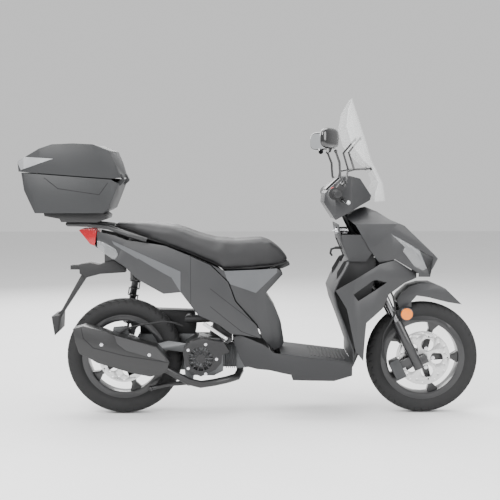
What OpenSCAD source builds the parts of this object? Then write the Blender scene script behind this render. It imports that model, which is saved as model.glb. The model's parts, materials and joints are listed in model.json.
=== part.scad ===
// Moped scooter with a top case and a windscreen.
// Millimetres. +X forward, +Y to the rider's left, +Z up.
// Origin on the ground, half-way along the machine, on its middle plane.

/* [Overall] */
// Distance between the two axles
wheelbase = 1330; // [1250:5:1450]
// Steering head angle from vertical, in degrees
rake = 26; // [24:0.5:28]
// Distance of the front axle ahead of the fork tubes
axle_lead = 37; // [30:1:42]
// How far the top case reaches behind the rear axle
tail_reach = 438; // [420:2:500]
// Overall width of the handlebar, over the grip ends
bar_w = 700; // [640:5:800]

/* [Wheels] */
// Diameter at which both tyres seat on their rims
rim_d = 356; // [340:2:380]
// Height of the rear tyre section
rear_tyre_h = 80; // [74:1:84]
// Width of the rear tyre
rear_tyre_w = 100; // [92:1:104]
// Height of the front tyre section
front_tyre_h = 72; // [66:1:76]
// Width of the front tyre
front_tyre_w = 90; // [84:1:94]
// Width between the rim flanges
rim_w = 62; // [56:1:66]
// Number of spokes in each wheel
spokes = 5; // [3:1:6]
// Diameter of both axles
axle_d = 14; // [12:1:17]
// Diameter of the front brake disc
front_disc_d = 240; // [220:2:250]
// Diameter of the rear brake disc
rear_disc_d = 220; // [200:2:230]
// Thickness of both brake discs
disc_t = 4; // [3:0.5:5]

/* [Fork] */
// Distance between the two fork tubes
fork_gap = 144; // [136:2:152]
// Outer diameter of a fork slider
slider_d = 44; // [40:1:46]
// Outer diameter of a fork tube
tube_d = 31; // [27:1:33]
// Diameter of the steering stem
stem_d = 26; // [22:1:30]
// Height of the steering head
head_h = 170; // [150:5:190]
// How far the fork can shorten
fork_travel = 30; // [20:1:40]

/* [Body] */
// Wall of the plastic panels
wall = 3; // [2:0.5:4]
// Gap round the lamps set into the panels
pane_gap = 0.7; // [0.4:0.1:1.2]
// Half-width of the leg shield at its widest
shield_half = 205; // [190:5:220]
// Half-width of the nose panels
nose_half = 150; // [130:5:165]
// Half-width of the tail panels at their rear end
tail_half = 78; // [74:2:90]
// Half-width of the side panels at their widest
hip_half = 140; // [132:2:150]
// Half-width of the foot board
floor_half = 178; // [165:5:195]
// Height of the foot board above the ground
floor_z = 283; // [275:1:295]
// Width of the seat at its widest
seat_w = 290; // [260:5:310]
// Height of the rider's seat above the ground
seat_h = 777; // [765:1:790]

/* [Top case] */
// Width of the top case
case_w = 410; // [380:5:440]
// Wall of the top case
case_wall = 4; // [3:0.5:5]

/* [Rear suspension] */
// Free height between the two shock eyes
shock_len = 282; // [270:1:290]
// Diameter of the shock spring
spring_d = 52; // [46:1:56]
// Diameter of the spring wire
wire_d = 8; // [6:0.5:9]
// Number of turns in the spring
spring_turns = 8; // [6:1:9]

/* [Controls] */
// Diameter of the handlebar tube
bar_d = 22; // [20:1:25]
// Outer diameter of the grips
grip_d = 34; // [31:1:36]
// Length of the grips
grip_len = 122; // [110:1:130]
// Radial running clearance of the turning fits
fit = 0.05; // [0.02:0.01:0.08]

/* [Hidden] */
$fn = 64;

// Heights and places that follow from the sizes above
rear_r = rim_d / 2 + rear_tyre_h;
front_r = rim_d / 2 + front_tyre_h;
front_end = wheelbase + front_r;
x_mid = (front_end - tail_reach) / 2;
// The front end, and all that bolts to it, moves with the front axle
front_dx = wheelbase - 1330;
// The top case moves with the tail
tail_dx = 438 - tail_reach;
far = 2000;

// Draws in the frame that starts at the rear axle's foot on the ground
module from_rear() { translate([-x_mid, 0, 0]) children(); }

// Draws in the fork's own frame: +Z up along the fork tubes, +X square to them, forward
module on_fork() {
  from_rear() translate([wheelbase, 0, front_r]) rotate([0, -rake, 0])
    translate([-axle_lead, 0, 0]) children();
}

// A side outline in X and Z, drawn out over y from y0 to y1
module side(points, y0, y1) {
  translate([0, y1, 0]) rotate([90, 0, 0]) linear_extrude(y1 - y0) polygon(points);
}

// A solid between two mirror-image edges: half-widths against X, over a height range
module plan(half_widths, z0, z1) {
  edge = [for (p = half_widths) [p[0], p[1]]];
  back = [for (i = [len(half_widths) - 1:-1:0]) [half_widths[i][0], -half_widths[i][1]]];
  translate([0, 0, z0]) linear_extrude(z1 - z0) polygon(concat(edge, back));
}

// The same half-widths, each less by a wall
function narrower(half_widths, by) = [for (p = half_widths) [p[0], p[1] - by]];

// Points moved along X
function moved(points, dx) = [for (p = points) [p[0] + dx, p[1]]];

// Points drawn in towards their middle, for a pane in its frame
function middle(points) =
  [for (k = [0, 1]) [for (p = points) p[k]] * [for (p = points) 1 / len(points)]];
function inset(points, by) = let (c = middle(points)) [for (p = points) p + unit(c - p) * by];

// A round bar across the machine, along Y
module cross_bar(d, y0, y1) {
  translate([0, y1, 0]) rotate([90, 0, 0]) cylinder(d = d, h = y1 - y0);
}

// A round bar between two points
module bar(a, b, d) {
  v = b - a;
  h = norm(v);
  translate(a) rotate([0, acos(v[2] / h), atan2(v[1], v[0])]) cylinder(d = d, h = h);
}

function unit(v) = v / norm(v);
function square_to(v) = unit(cross(v, abs(v[2]) < 0.9 * norm(v) ? [0, 0, 1] : [1, 0, 0]));
// Normal of the plane in which a tube's two legs meet at point i
function mitre(points, i) = let (n = len(points))
  i == 0 ? unit(points[1] - points[0])
  : i == n - 1 ? unit(points[n - 1] - points[n - 2])
  : unit(unit(points[i] - points[i - 1]) + unit(points[i + 1] - points[i]));
// A ring slid along dir until it lies in the plane through at
function slid(ring, dir, at, normal) =
  [for (q = ring) q + dir * (((at - q) * normal) / (dir * normal))];
function rings(points, ring, i = 0) = i == len(points) - 1 ? [ring]
  : concat([ring], rings(points,
      slid(ring, unit(points[i + 1] - points[i]), points[i + 1], mitre(points, i + 1)), i + 1));

tube_sides = 16;
// A bent tube through points, with mitred bends
module tube(points, d) {
  a = unit(points[1] - points[0]);
  u = square_to(a);
  v = cross(a, u);
  turn = 360 / tube_sides;
  first = [for (k = [0:tube_sides - 1])
    points[0] + (u * cos((k + 0.5) * turn) + v * sin((k + 0.5) * turn)) * d / 2];
  n = len(points);
  walls = [for (i = [0:n - 2]) for (k = [0:tube_sides - 1])
    let (low = i * tube_sides, high = low + tube_sides, next = (k + 1) % tube_sides)
    [low + k, high + k, high + next, low + next]];
  start = [for (k = [0:tube_sides - 1]) k];
  end = [for (k = [tube_sides - 1:-1:0]) (n - 1) * tube_sides + k];
  polyhedron([for (r = rings(points, first)) for (q = r) q], concat(walls, [start, end]));
}

// A disc-shaped piece about the Y axis, its section given as radius against y
module turned(section) { rotate([90, 0, 0]) rotate_extrude() polygon(section); }

// ---- Wheels ----

rim_seat_r = rim_d / 2;
rim_inner_r = rim_seat_r - 18;
flange_r = rim_seat_r + 10;
flange_t = 5;
bead_w = 12;
hub_r = 34;
axle_r = axle_d / 2;

// Front hub: its right end carries the brake disc
front_disc_y = -40;
front_hub_left = 44;
// Rear hub: its left end is driven, its right end carries the brake disc
rear_disc_y = -56;
rear_hub_left = 48;

module rim(hub_y0, hub_y1) {
  half = rim_w / 2;
  difference() {
    union() {
      turned([
        [rim_inner_r, -half - flange_t], [flange_r, -half - flange_t], [flange_r, -half],
        [rim_seat_r, -half], [rim_seat_r, bead_w - half], [rim_seat_r - 9, bead_w + 7 - half],
        [rim_seat_r - 9, half - bead_w - 7], [rim_seat_r, half - bead_w], [rim_seat_r, half],
        [flange_r, half], [flange_r, half + flange_t], [rim_inner_r, half + flange_t]
      ]);
      cross_bar(2 * hub_r, hub_y0, hub_y1);
      for (i = [0:spokes - 1]) rotate([0, i * 360 / spokes, 0])
        side([
          [hub_r - 8, -16], [rim_inner_r - 30, -10], [rim_inner_r + 4, -30],
          [rim_inner_r + 4, 30], [rim_inner_r - 30, 10], [hub_r - 8, 16]
        ], -15, 15);
    }
    cross_bar(2 * (axle_r + fit), hub_y0 - 1, hub_y1 + 1);
  }
}

// A hollow tyre whose beads sit on the rim between its flanges
module tyre(w, h) {
  half = rim_w / 2;
  hw = w / 2;
  r0 = rim_seat_r;
  outer = [
    [r0, half], [flange_r + 1, half], [r0 + 0.24 * h, half + 0.62 * (hw - half)],
    [r0 + 0.42 * h, hw], [r0 + 0.6 * h, hw], [r0 + 0.8 * h, 0.86 * hw],
    [r0 + 0.93 * h, 0.66 * hw], [r0 + h, 0.42 * hw]
  ];
  inner = [
    [r0 + h - 12, 0.34 * hw], [r0 + 0.76 * h, 0.66 * hw], [r0 + 0.6 * h, hw - 11],
    [r0 + 0.42 * h, hw - 10], [r0 + 0.2 * h, half - 6], [r0, half - bead_w]
  ];
  outer_back = [for (i = [len(outer) - 1:-1:0]) [outer[i][0], -outer[i][1]]];
  inner_back = [for (i = [len(inner) - 1:-1:0]) [inner[i][0], -inner[i][1]]];
  turned(concat(outer, outer_back, inner_back, inner));
}

// A drilled disc with open windows round its carrier
module brake_disc(d, y) {
  carrier_r = hub_r - 6;
  window_r = 0.115 * d;
  holes = 24;
  difference() {
    cross_bar(d, y - disc_t, y);
    cross_bar(2 * 18, y - disc_t - 1, y + 1);
    for (i = [0:4]) rotate([0, i * 72, 0]) translate([carrier_r + window_r + 6, 0, 0])
      cross_bar(2 * window_r, y - disc_t - 1, y + 1);
    for (i = [0:holes - 1]) rotate([0, i * 360 / holes, 0])
      translate([d / 2 - (i % 2 == 0 ? 10 : 22), 0, 0]) cross_bar(7, y - disc_t - 1, y + 1);
  }
}

module at_front_axle() { from_rear() translate([wheelbase, 0, front_r]) children(); }
module at_rear_axle() { from_rear() translate([0, 0, rear_r]) children(); }

module front_rim() color("#26272a") at_front_axle() rim(front_disc_y, front_hub_left);
module front_tyre() color("#1b1b1c") at_front_axle() tyre(front_tyre_w, front_tyre_h);
module front_disc() color("#c9cacb") at_front_axle() brake_disc(front_disc_d, front_disc_y);
module rear_rim() color("#26272a") at_rear_axle() rim(rear_disc_y, rear_hub_left);
module rear_tyre() color("#1b1b1c") at_rear_axle() tyre(rear_tyre_w, rear_tyre_h);
module rear_disc() color("#c9cacb") at_rear_axle() brake_disc(rear_disc_d, rear_disc_y);

// ---- Fork ----

slider_r = slider_d / 2;
tube_r = tube_d / 2;
fork_y = fork_gap / 2;
slider_top = 205;
slider_foot = -28;
bridge_z = slider_top + 140;
bridge_t = 27;
head_z = bridge_z + bridge_t + 13;
stem_r = stem_d / 2;
bearing_r = stem_r + 10;
bearing_t = 14;
grip_x = -12;
grip_z = 842;
bar_centre_z = 800;
ear_x = slider_r - 5;
fender_half = 59;

module fork_sliders() color("#2b2c2e") on_fork() {
  difference() {
    union() {
      for (s = [-1, 1]) translate([0, s * fork_y, 0]) {
        translate([0, 0, slider_foot]) cylinder(r = slider_r, h = slider_top - slider_foot);
        translate([0, -12, -18]) cube([axle_lead + 14, 24, 36]);
      }
      // Axle with a spacer at each end of the hub
      translate([axle_lead, 0, 0]) {
        cross_bar(axle_d, -fork_y, fork_y);
        cross_bar(axle_d + 12, -fork_y, front_disc_y - 1);
        cross_bar(axle_d + 12, front_hub_left + 1, fork_y);
      }
      // Ears that hold the fender
      for (s = [-1, 1]) translate([ear_x, s * (fender_half + 3.3) - 3, 170]) cube([36, 6, 76]);
      // Arm that holds the caliper
      translate([-66, -fork_y - 6, 4]) cube([60, 8, 34]);
    }
    for (s = [-1, 1]) translate([0, s * fork_y, 12]) cylinder(r = tube_r + fit, h = far);
  }
}

module fork_tubes() color("#d8d9da") on_fork()
  for (s = [-1, 1]) translate([0, s * fork_y, 12 + fork_travel + 8])
    cylinder(r = tube_r, h = bridge_z + bridge_t - 20 - fork_travel);

module front_caliper() color("#8c8e90") on_fork() difference() {
  intersection() {
    translate([-112, -fork_y - 14, -34]) cube([46, fork_y - 10, 88]);
    translate([axle_lead, 0, 0]) cross_bar(2 * (rim_inner_r - 6), -far, far);
  }
  translate([axle_lead, 0, 0])
    cross_bar(front_disc_d + 8, front_disc_y - disc_t - 1.5, front_disc_y + 1.5);
  translate([-66.3, -fork_y - 6.3, 3]) cube([10, 8.6, 36]);
}

// Side outline of the fender, from its rear tab over the crown to the beak and back
fender_side = [
  [1225, 460], [1207, 509], [1219, 533], [1262, 572], [1310, 586], [1364, 587], [1427, 560],
  [1505, 487], [1442, 499], [1350, 523], [1297, 531], [1274, 505], [1274, 480], [1254, 482]
];
fender_inside = [
  [1200, 440], [1212, 508], [1224, 531], [1265, 567], [1311, 581], [1362, 582], [1424, 555],
  [1497, 484], [1442, 440]
];
fender_halves = [[1190, fender_half], [1400, fender_half], [1510, 22]];

module front_fender() color("#2a2b2e") from_rear()
  translate([front_dx, 0, front_r - 250]) difference() {
    intersection() {
      side(fender_side, -80, 80);
      plan(fender_halves, 400, 640);
    }
    intersection() {
      side(fender_inside, -80, 80);
      plan(narrower(fender_halves, wall), 400, 640);
    }
  }

// ---- Steering ----

// Frame round the grips: +X forward and down to the levers, +Z along the lever pins
lever_drop = 38;
module on_bar() {
  on_fork() translate([grip_x, 0, grip_z]) rotate([0, rake + lever_drop, 0]) children();
}

bar_r = bar_d / 2;
bar_half = bar_w / 2;
grip_r = grip_d / 2;
grip_y0 = bar_half - 6 - grip_len;
grip_y1 = bar_half - 6;
switch_y0 = grip_y0 - 60;
switch_y1 = grip_y0 - 3;
pin_d = 8;
lever_pin_x = 36;
lever_pin_y = switch_y0 + 42;

module steering_stem() color("#3a3b3d") on_fork() difference() {
  union() {
    translate([-27, -fork_y - 24, bridge_z]) cube([54, fork_gap + 48, bridge_t]);
    translate([0, 0, bridge_z]) cylinder(r = stem_r, h = bar_centre_z - bridge_z);
    translate([0, 0, bridge_z + bridge_t]) cylinder(r = stem_r + 6, h = 8);
    translate([-21, -28, bar_centre_z - 22]) cube([42, 56, 44]);
  }
  for (s = [-1, 1]) translate([0, s * fork_y, bridge_z - 1])
    cylinder(r = tube_r + fit, h = bridge_t + 2);
  translate([0, 0, bar_centre_z]) cross_bar(bar_d + 2 * fit, -40, 40);
}

module head_bearings() color("#b9bbbd") on_fork()
  for (z = [head_z, head_z + head_h - bearing_t]) translate([0, 0, z]) difference() {
    cylinder(r = bearing_r, h = bearing_t);
    translate([0, 0, -1]) cylinder(r = stem_r + fit, h = bearing_t + 2);
  }

module handlebar() color("#1d1e20") on_fork() {
  tube([
    [grip_x, -bar_half + 6, grip_z], [grip_x, -150, grip_z], [0, -62, bar_centre_z],
    [0, 62, bar_centre_z], [grip_x, 150, grip_z], [grip_x, bar_half - 6, grip_z]
  ], bar_d);
  for (s = [-1, 1]) translate([grip_x, s * (bar_half - 2.5), grip_z])
    cross_bar(grip_d - 4, -2.5, 2.5);
  for (s = [-1, 1]) translate([grip_x, s * (bar_half - 5.4), grip_z]) cross_bar(12, -1, 1);
}

module grip(s) {
  y0 = s > 0 ? grip_y0 : -grip_y1;
  flange_y = s > 0 ? grip_y0 : -grip_y0 - 5;
  on_fork() translate([grip_x, 0, grip_z]) difference() {
    union() {
      cross_bar(grip_d, y0, y0 + grip_len - 0.4);
      cross_bar(grip_d + 20, flange_y, flange_y + 5);
    }
    cross_bar(bar_d + 2 * fit, -far, far);
  }
}

module left_grip() color("#1f1f21") grip(1);
module throttle_grip() color("#1f1f21") grip(-1);

// Switch cases round the bar, each with the brake's master cylinder in front of it
module switch_housings() color("#242527") on_bar() for (s = [-1, 1]) {
  y0 = s > 0 ? switch_y0 : -switch_y1;
  pin_y = s * lever_pin_y;
  difference() {
    union() {
      cross_bar(50, y0, y0 + switch_y1 - switch_y0);
      translate([8, y0, -13]) cube([lever_pin_x + 4, switch_y1 - switch_y0, 26]);
      translate([-10, y0 + 4, 20]) cube([30, switch_y1 - switch_y0 - 8, 26]);
    }
    cross_bar(bar_d + 2 * fit, -far, far);
    // Slot and pin hole for the lever
    translate([lever_pin_x - 13, pin_y - (s > 0 ? 14 : 40), -5.3]) cube([60, 54, 10.6]);
    // Pocket for the starter button
    if (s < 0) rotate([0, -150, 0]) translate([12, y0 + 28, 0]) rotate([0, 90, 0])
      cylinder(r = 7.3, h = 30);
  }
  translate([lever_pin_x, pin_y, -13]) cylinder(d = pin_d, h = 26);
}

module lever(s) {
  on_bar() difference() {
    union() {
      translate([lever_pin_x, s * lever_pin_y, -5]) cylinder(r = 11, h = 10);
      hull() {
        translate([lever_pin_x + 3, s * lever_pin_y, -5]) cylinder(r = 8, h = 10, $fn = 24);
        translate([lever_pin_x + 24, s * (grip_y0 + 46), -5]) cylinder(r = 6, h = 10, $fn = 24);
      }
      hull() {
        translate([lever_pin_x + 24, s * (grip_y0 + 46), -5]) cylinder(r = 6, h = 10, $fn = 24);
        translate([lever_pin_x + 20, s * (grip_y1 - 8), -5]) cylinder(r = 6, h = 10, $fn = 24);
      }
      translate([lever_pin_x + 20, s * (grip_y1 - 4), 0]) sphere(r = 9);
    }
    translate([lever_pin_x, s * lever_pin_y, -6]) cylinder(d = pin_d + 2 * fit, h = 12);
  }
}

module right_brake_lever() color("#b4b6b8") lever(-1);
module left_brake_lever() color("#b4b6b8") lever(1);

module starter_button() color("#b3242a") on_bar() rotate([0, -150, 0])
  translate([17, -switch_y1 + 28, 0]) rotate([0, 90, 0]) cylinder(r = 7, h = 11);

// ---- What the handlebar carries ----

// Where the grips' axis lies on the standard machine, from the rear axle's foot
bars_x = 917;
bars_z = 985;

// Draws in the standard machine's frame, but follows the handlebar
module with_bars() {
  on_fork() translate([grip_x, 0, grip_z]) rotate([0, rake, 0])
    translate([-bars_x, 0, -bars_z]) children();
}

mirror_y = switch_y0 + 22;
mirror_base = [6, 46];
mirror_turn = 35;
stem_tip = [-30, 12, 148];
ball_r = 8;
boss_r = 9;

// Upright frame on the clamp that holds a mirror; s is -1 on the right, 1 on the left
module on_mirror(s) {
  on_bar() translate([mirror_base[0], s * mirror_y, mirror_base[1]])
    rotate([0, -lever_drop, 0]) children();
}

module mirror_stems() color("#151516") for (s = [-1, 1]) {
  on_bar() translate([mirror_base[0], s * mirror_y, mirror_base[1]])
    cylinder(r = boss_r, h = 16);
  on_mirror(s) {
    tube([[8, 0, 10], [-8, 0, 40], [-12, 0, 100], [stem_tip[0], s * stem_tip[1], stem_tip[2]]], 10);
    translate([stem_tip[0], s * stem_tip[1], stem_tip[2]]) sphere(r = ball_r);
  }
}

module mirror_head(s) {
  on_mirror(s) translate([stem_tip[0], s * stem_tip[1], stem_tip[2]])
    rotate([0, 0, s * mirror_turn]) {
      difference() {
        sphere(r = ball_r + 5);
        sphere(r = ball_r + 0.3);
        translate([-20, -20, -23]) cube([40, 40, 20]);
      }
      hull() for (y = [8, 106]) for (z = [26, 76])
        translate([-8, s * y, z]) rotate([0, 90, 0]) cylinder(r1 = 20, r2 = 12, h = 30, $fn = 32);
    }
}

module right_mirror() color("#101011") mirror_head(-1);
module left_mirror() color("#101011") mirror_head(1);

// Windscreen: rows from its foot to its top, each [height, middle x, half-width]
screen_rows = [
  [950, 1160, 168], [985, 1156, 160], [1030, 1148, 120], [1090, 1118, 112], [1125, 1099, 150],
  [1190, 1079, 188], [1270, 1053, 186], [1340, 1030, 150], [1380, 1016, 92], [1398, 1010, 40]
];
screen_bow_r = 250;
screen_t = 3;
screen_cols = 12;

function bow(y) = screen_bow_r - sqrt(screen_bow_r * screen_bow_r - y * y);
function screen_x(z) = lookup(z, [for (r = screen_rows) [r[0], r[1]]]);

module windscreen() color("#e8eef0", 0.35) with_bars() {
  cols = screen_cols + 1;
  rows = len(screen_rows);
  count = rows * cols;
  front = [for (r = screen_rows) for (j = [-6:6]) let (y = r[2] * j / 6) [r[1] - bow(y), y, r[0]]];
  back = [for (p = front) [p[0] - screen_t, p[1], p[2]]];
  grid = [for (i = [0:rows - 2]) for (j = [0:cols - 2]) let (a = i * cols + j)
    [a, a + cols, a + cols + 1, a + 1]];
  grid_back = [for (f = grid) [for (k = [3:-1:0]) f[k] + count]];
  foot = [for (j = [0:cols - 2]) [j, j + 1, j + 1 + count, j + count]];
  top = [for (j = [0:cols - 2]) let (a = (rows - 1) * cols + j) [a + 1, a, a + count, a + 1 + count]];
  right = [for (i = [0:rows - 2]) let (a = i * cols) [a + cols, a, a + count, a + cols + count]];
  left = [for (i = [0:rows - 2]) let (a = i * cols + cols - 1)
    [a, a + cols, a + cols + count, a + count]];
  polyhedron(concat(front, back), concat(grid, grid_back, foot, top, right, left));
}

// Two bent rods on each side, from a ring on the mirror clamp to knobs on the screen
knob_y = 96;
knob_low = 1092;
knob_high = 1222;

module screen_brackets() color("#161617") {
  for (s = [-1, 1]) {
    on_bar() translate([mirror_base[0], s * mirror_y, mirror_base[1] + 2]) difference() {
      cylinder(r = boss_r + 6, h = 9);
      translate([0, 0, -1]) cylinder(r = boss_r + fit, h = 12);
    }
    with_bars() {
      low_x = screen_x(knob_low) - bow(knob_y) - screen_t - 12;
      high_x = screen_x(knob_high) - bow(knob_y) - screen_t - 12;
      my = mirror_y;
      tube([
        [967, s * (my - 9), 1026], [975, s * (my - 22), 1080], [1012, s * (knob_y + 22), 1088],
        [low_x, s * knob_y, knob_low]
      ], 9);
      tube([
        [1008, s * (knob_y + 26), 1087], [985, s * (knob_y + 18), 1162],
        [high_x, s * knob_y, knob_high]
      ], 9);
      for (p = [[low_x, knob_low], [high_x, knob_high]])
        translate([p[0] - 3, s * knob_y, p[1]]) rotate([0, 90, 0]) cylinder(r = 9, h = 8);
    }
  }
}

// Cover round the middle of the handlebar, open below round the stem
cover_side = [
  [929, 868], [1044, 932], [1086, 953], [1092, 973], [1038, 1048], [990, 1060], [952, 1052],
  [893, 996], [884, 985], [880, 942], [901, 910]
];
cover_inside = [
  [933, 860], [1046, 924], [1081, 957], [1086, 974], [1035, 1044], [990, 1056], [954, 1048],
  [897, 994], [888, 983], [884, 943], [905, 911]
];
cover_halves = [[870, 96], [930, 122], [1000, 118], [1095, 52]];

module cover_form(outline, halves) intersection() {
  side(outline, -200, 200);
  plan(halves, 800, 1100);
}

module handlebar_cover() color("#2a2b2d") {
  difference() {
    union() {
      with_bars() difference() {
        cover_form(cover_side, cover_halves);
        cover_form(cover_inside, narrower(cover_halves, wall));
      }
      // Ribs that grip the clamp block of the stem
      intersection() {
        with_bars() cover_form(cover_side, cover_halves);
        on_fork() for (s = [-1, 1]) translate([-12, s * 29.8 - 1.5, bar_centre_z - 15])
          cube([160, 3, 30]);
      }
    }
    on_fork() tube([
      [grip_x, -150, grip_z], [0, -62, bar_centre_z], [0, 62, bar_centre_z], [grip_x, 150, grip_z]
    ], bar_d + 14);
    on_bar() for (s = [-1, 1]) translate([0, s > 0 ? switch_y0 - 100 : -switch_y0, 0])
      cross_bar(bar_d + 20, 0, 100);
  }
}

// Instrument panel that lies on the cover's rear slope
module dash_panel() color("#0d0e10") with_bars()
  side([[893.5, 996.5], [888, 1003], [944, 1056], [952, 1052.4]], -78, 78);

// ---- Engine, exhaust and rear suspension ----

// The engine group rises with the rear axle
module with_rear() { from_rear() translate([0, 0, rear_r - 258]) children(); }

pivot = [400, 372];
pivot_pin_d = 16;
crank = [344, 267];
crank_pin_d = 16;
case_right = -105;
case_rear = rear_r + 10;
arm_y0 = -84;
arm_y1 = -70;
belt_y0 = rear_hub_left + 14;
belt_y1 = belt_y0 + 62;
head_half = 45;
stand_pivot = [288, 147];
stand_pin_d = 12;
shock_y = 112;
shock_top = [42, 608];
shock_eye_d = 26;
shock_pin_d = 10;
shock_tilt = 9.6;

module engine_case() color("#3c3d40") with_rear() difference() {
  union() {
    // Crankcase and the ear it hangs from
    side([
      [case_rear, 220], [300, 187], [400, 185], [440, 205], [440, 320], [425, 352], [330, 352],
      [case_rear, 318]
    ], case_right, belt_y0);
    side([[375, 345], [425, 345], [418, pivot[1]], [382, pivot[1]]], -58, 58);
    translate([pivot[0], 0, pivot[1]]) cross_bar(36, -58, 58);
    // Cylinder and its fins, and the cylinder head
    side([[436, 212], [500, 212], [500, 312], [436, 312]], -40, 40);
    for (x = [452:9:497]) side([[x, 207], [x + 3, 207], [x + 3, 318], [x, 318]], -50, 50);
    side([[500, 205], [562, 212], [562, 304], [500, 320]], -head_half, head_half);
    // Belt case on the left, from the crank to the rear axle
    side([
      [-72, 240], [-60, 215], [-20, 190], [60, 184], [300, 178], [400, 190], [436, 230],
      [436, 300], [400, 340], [300, 345], [56, 345], [40, 314], [-30, 310], [-66, 290]
    ], belt_y0, belt_y1);
    // Right arm to the axle, the axle and its spacers
    side([
      [-28, 240], [-28, 278], [60, 300], [200, 336], [290, 322], [290, 282], [200, 294],
      [60, 252], [0, 232]
    ], arm_y0, arm_y1);
    translate([0, 0, 258]) {
      cross_bar(axle_d, arm_y0 - 11.5, belt_y0);
      cross_bar(axle_d + 12, arm_y0, rear_disc_y - 1);
      cross_bar(axle_d + 12, rear_hub_left + 1, belt_y0);
      cross_bar(axle_d + 10, arm_y0 - 8, arm_y0);
    }
    // Crank stub that drives the fan
    translate([crank[0], 0, crank[1]]) cross_bar(crank_pin_d, case_right - 34, case_right + 5);
    // Lugs under the case for the stand, and the lug for the shock
    for (s = [-1, 1]) side([
      [stand_pivot[0] - 14, stand_pivot[1] - 13], [stand_pivot[0] + 14, stand_pivot[1] - 13],
      [stand_pivot[0] + 24, 195], [stand_pivot[0] - 20, 215]
    ], s * 48 - 9, s * 48 + 9);
    side([[-30, 300], [24, 300], [8, 346], [-18, 346]], shock_y - 23, shock_y - 13);
    translate([shock_low[0], 0, shock_low[1]]) cross_bar(shock_pin_d, shock_y - 20, shock_y + 12);
  }
  translate([pivot[0], 0, pivot[1]]) cross_bar(pivot_pin_d + 2 * fit, -60, 60);
  translate([stand_pivot[0], 0, stand_pivot[1]]) cross_bar(stand_pin_d + 2 * fit, -80, 80);
}

fan_r = 58;
fan_side = [
  [266, 288], [270, 316], [298, 341], [351, 358], [400, 346], [443, 339], [469, 298],
  [436, 285], [433, 250], [408, 221], [344, 191], [284, 217]
];

module fan_cover() color("#2a2b2d") with_rear() difference() {
  side(fan_side, case_right - 54, case_right);
  translate([crank[0], 0, crank[1]]) {
    cross_bar(2 * fan_r + 14, case_right - 46, case_right + 1);
    // Slots of the air grille, in two rings
    for (ring = [[20, 34], [37, 52]]) for (i = [0:11]) rotate([0, i * 30, 0])
      side([
        [ring[0], -ring[0] * 0.19], [ring[1], -ring[1] * 0.19], [ring[1], ring[1] * 0.19],
        [ring[0], ring[0] * 0.19]
      ], case_right - 60, case_right - 40);
  }
}

module cooling_fan() color("#55575a") with_rear() translate([crank[0], 0, crank[1]])
  difference() {
    union() {
      cross_bar(2 * fan_r, case_right - 10, case_right - 6);
      cross_bar(40, case_right - 34, case_right - 6);
      for (i = [0:13]) rotate([0, i * 360 / 14, 0])
        side([[26, -1.5], [fan_r - 2, -1.5], [fan_r - 2, 1.5], [26, 1.5]],
          case_right - 36, case_right - 8);
    }
    cross_bar(crank_pin_d + 2 * fit, case_right - 50, case_right);
  }

muffler_side = [
  [-205, 404], [-194, 345], [-178, 297], [-140, 280], [-102, 257], [50, 211], [127, 196],
  [196, 214], [209, 261], [191, 284], [155, 326], [77, 348], [-30, 377], [-72, 394],
  [-161, 417]
];

module exhaust() color("#222324") with_rear() {
  side(muffler_side, -186, -96);
  side([[100, 290], [160, 290], [160, 318], [100, 318]], -97, arm_y0);
  tube([
    [515, -25, 205], [515, -25, 192], [500, -66, 172], [455, -104, 166], [406, -128, 160],
    [343, -141, 153], [290, -142, 166], [234, -144, 196], [180, -146, 228]
  ], 32);
}

module air_filter_box() color("#1f2022") with_rear() {
  difference() {
    side([[62, 345], [312, 345], [318, 380], [308, 450], [84, 458], [60, 424]],
      belt_y0 + 4, belt_y1 + 14);
    side([[66, 349], [308, 349], [314, 381], [304, 446], [86, 454], [64, 424]],
      belt_y0 + 8, belt_y1 + 10);
  }
  tube([
    [286, belt_y0 + 6, 422], [286, -10, 422], [430, -10, 428], [500, -10, 388],
    [500, -10, 320]
  ], 36);
}

module rear_caliper() color("#8c8e90") with_rear() difference() {
  union() {
    side([[-52, 332], [-44, 392], [18, 398], [30, 345], [20, 326]], -77, -40);
    side([[-34, 262], [30, 262], [22, 340], [-46, 340]], arm_y1 + 0.3, -63);
  }
  translate([0, 0, 258]) {
    cross_bar(rear_disc_d + 8, rear_disc_y - disc_t - 1.5, rear_disc_y + 1.5);
    cross_bar(axle_d + 13, -90, -40);
  }
}

// Shock: its foot follows from the top eye, its length and its lean
shock_low = [
  shock_top[0] - shock_len * sin(shock_tilt), shock_top[1] - shock_len * cos(shock_tilt)
];
rod_d = 12;

// Draws along the shock, +Z up it, from its lower eye
module on_shock() {
  with_rear() translate([shock_low[0], shock_y, shock_low[1]]) rotate([0, shock_tilt, 0])
    children();
}

module shock_body() color("#1a1a1b") on_shock() difference() {
  union() {
    translate([0, 0, shock_len]) cross_bar(shock_eye_d, -9, 9);
    translate([0, 0, 118]) cylinder(d = 32, h = shock_len - 118 - 6);
    translate([0, 0, shock_len - 24]) cylinder(d = spring_d, h = 8);
  }
  translate([0, 0, shock_len]) cross_bar(shock_pin_d + 2 * fit, -12, 12);
  translate([0, 0, 110]) cylinder(d = rod_d + 2 * fit, h = shock_len - 150);
}

module shock_rod() color("#c2c4c6") on_shock() difference() {
  union() {
    cross_bar(shock_eye_d, -9, 9);
    translate([0, 0, 8]) cylinder(d = rod_d, h = 150);
    translate([0, 0, 20]) cylinder(d = spring_d, h = 7);
  }
  cross_bar(shock_pin_d + 1.6, -12, 12);
}

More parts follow.
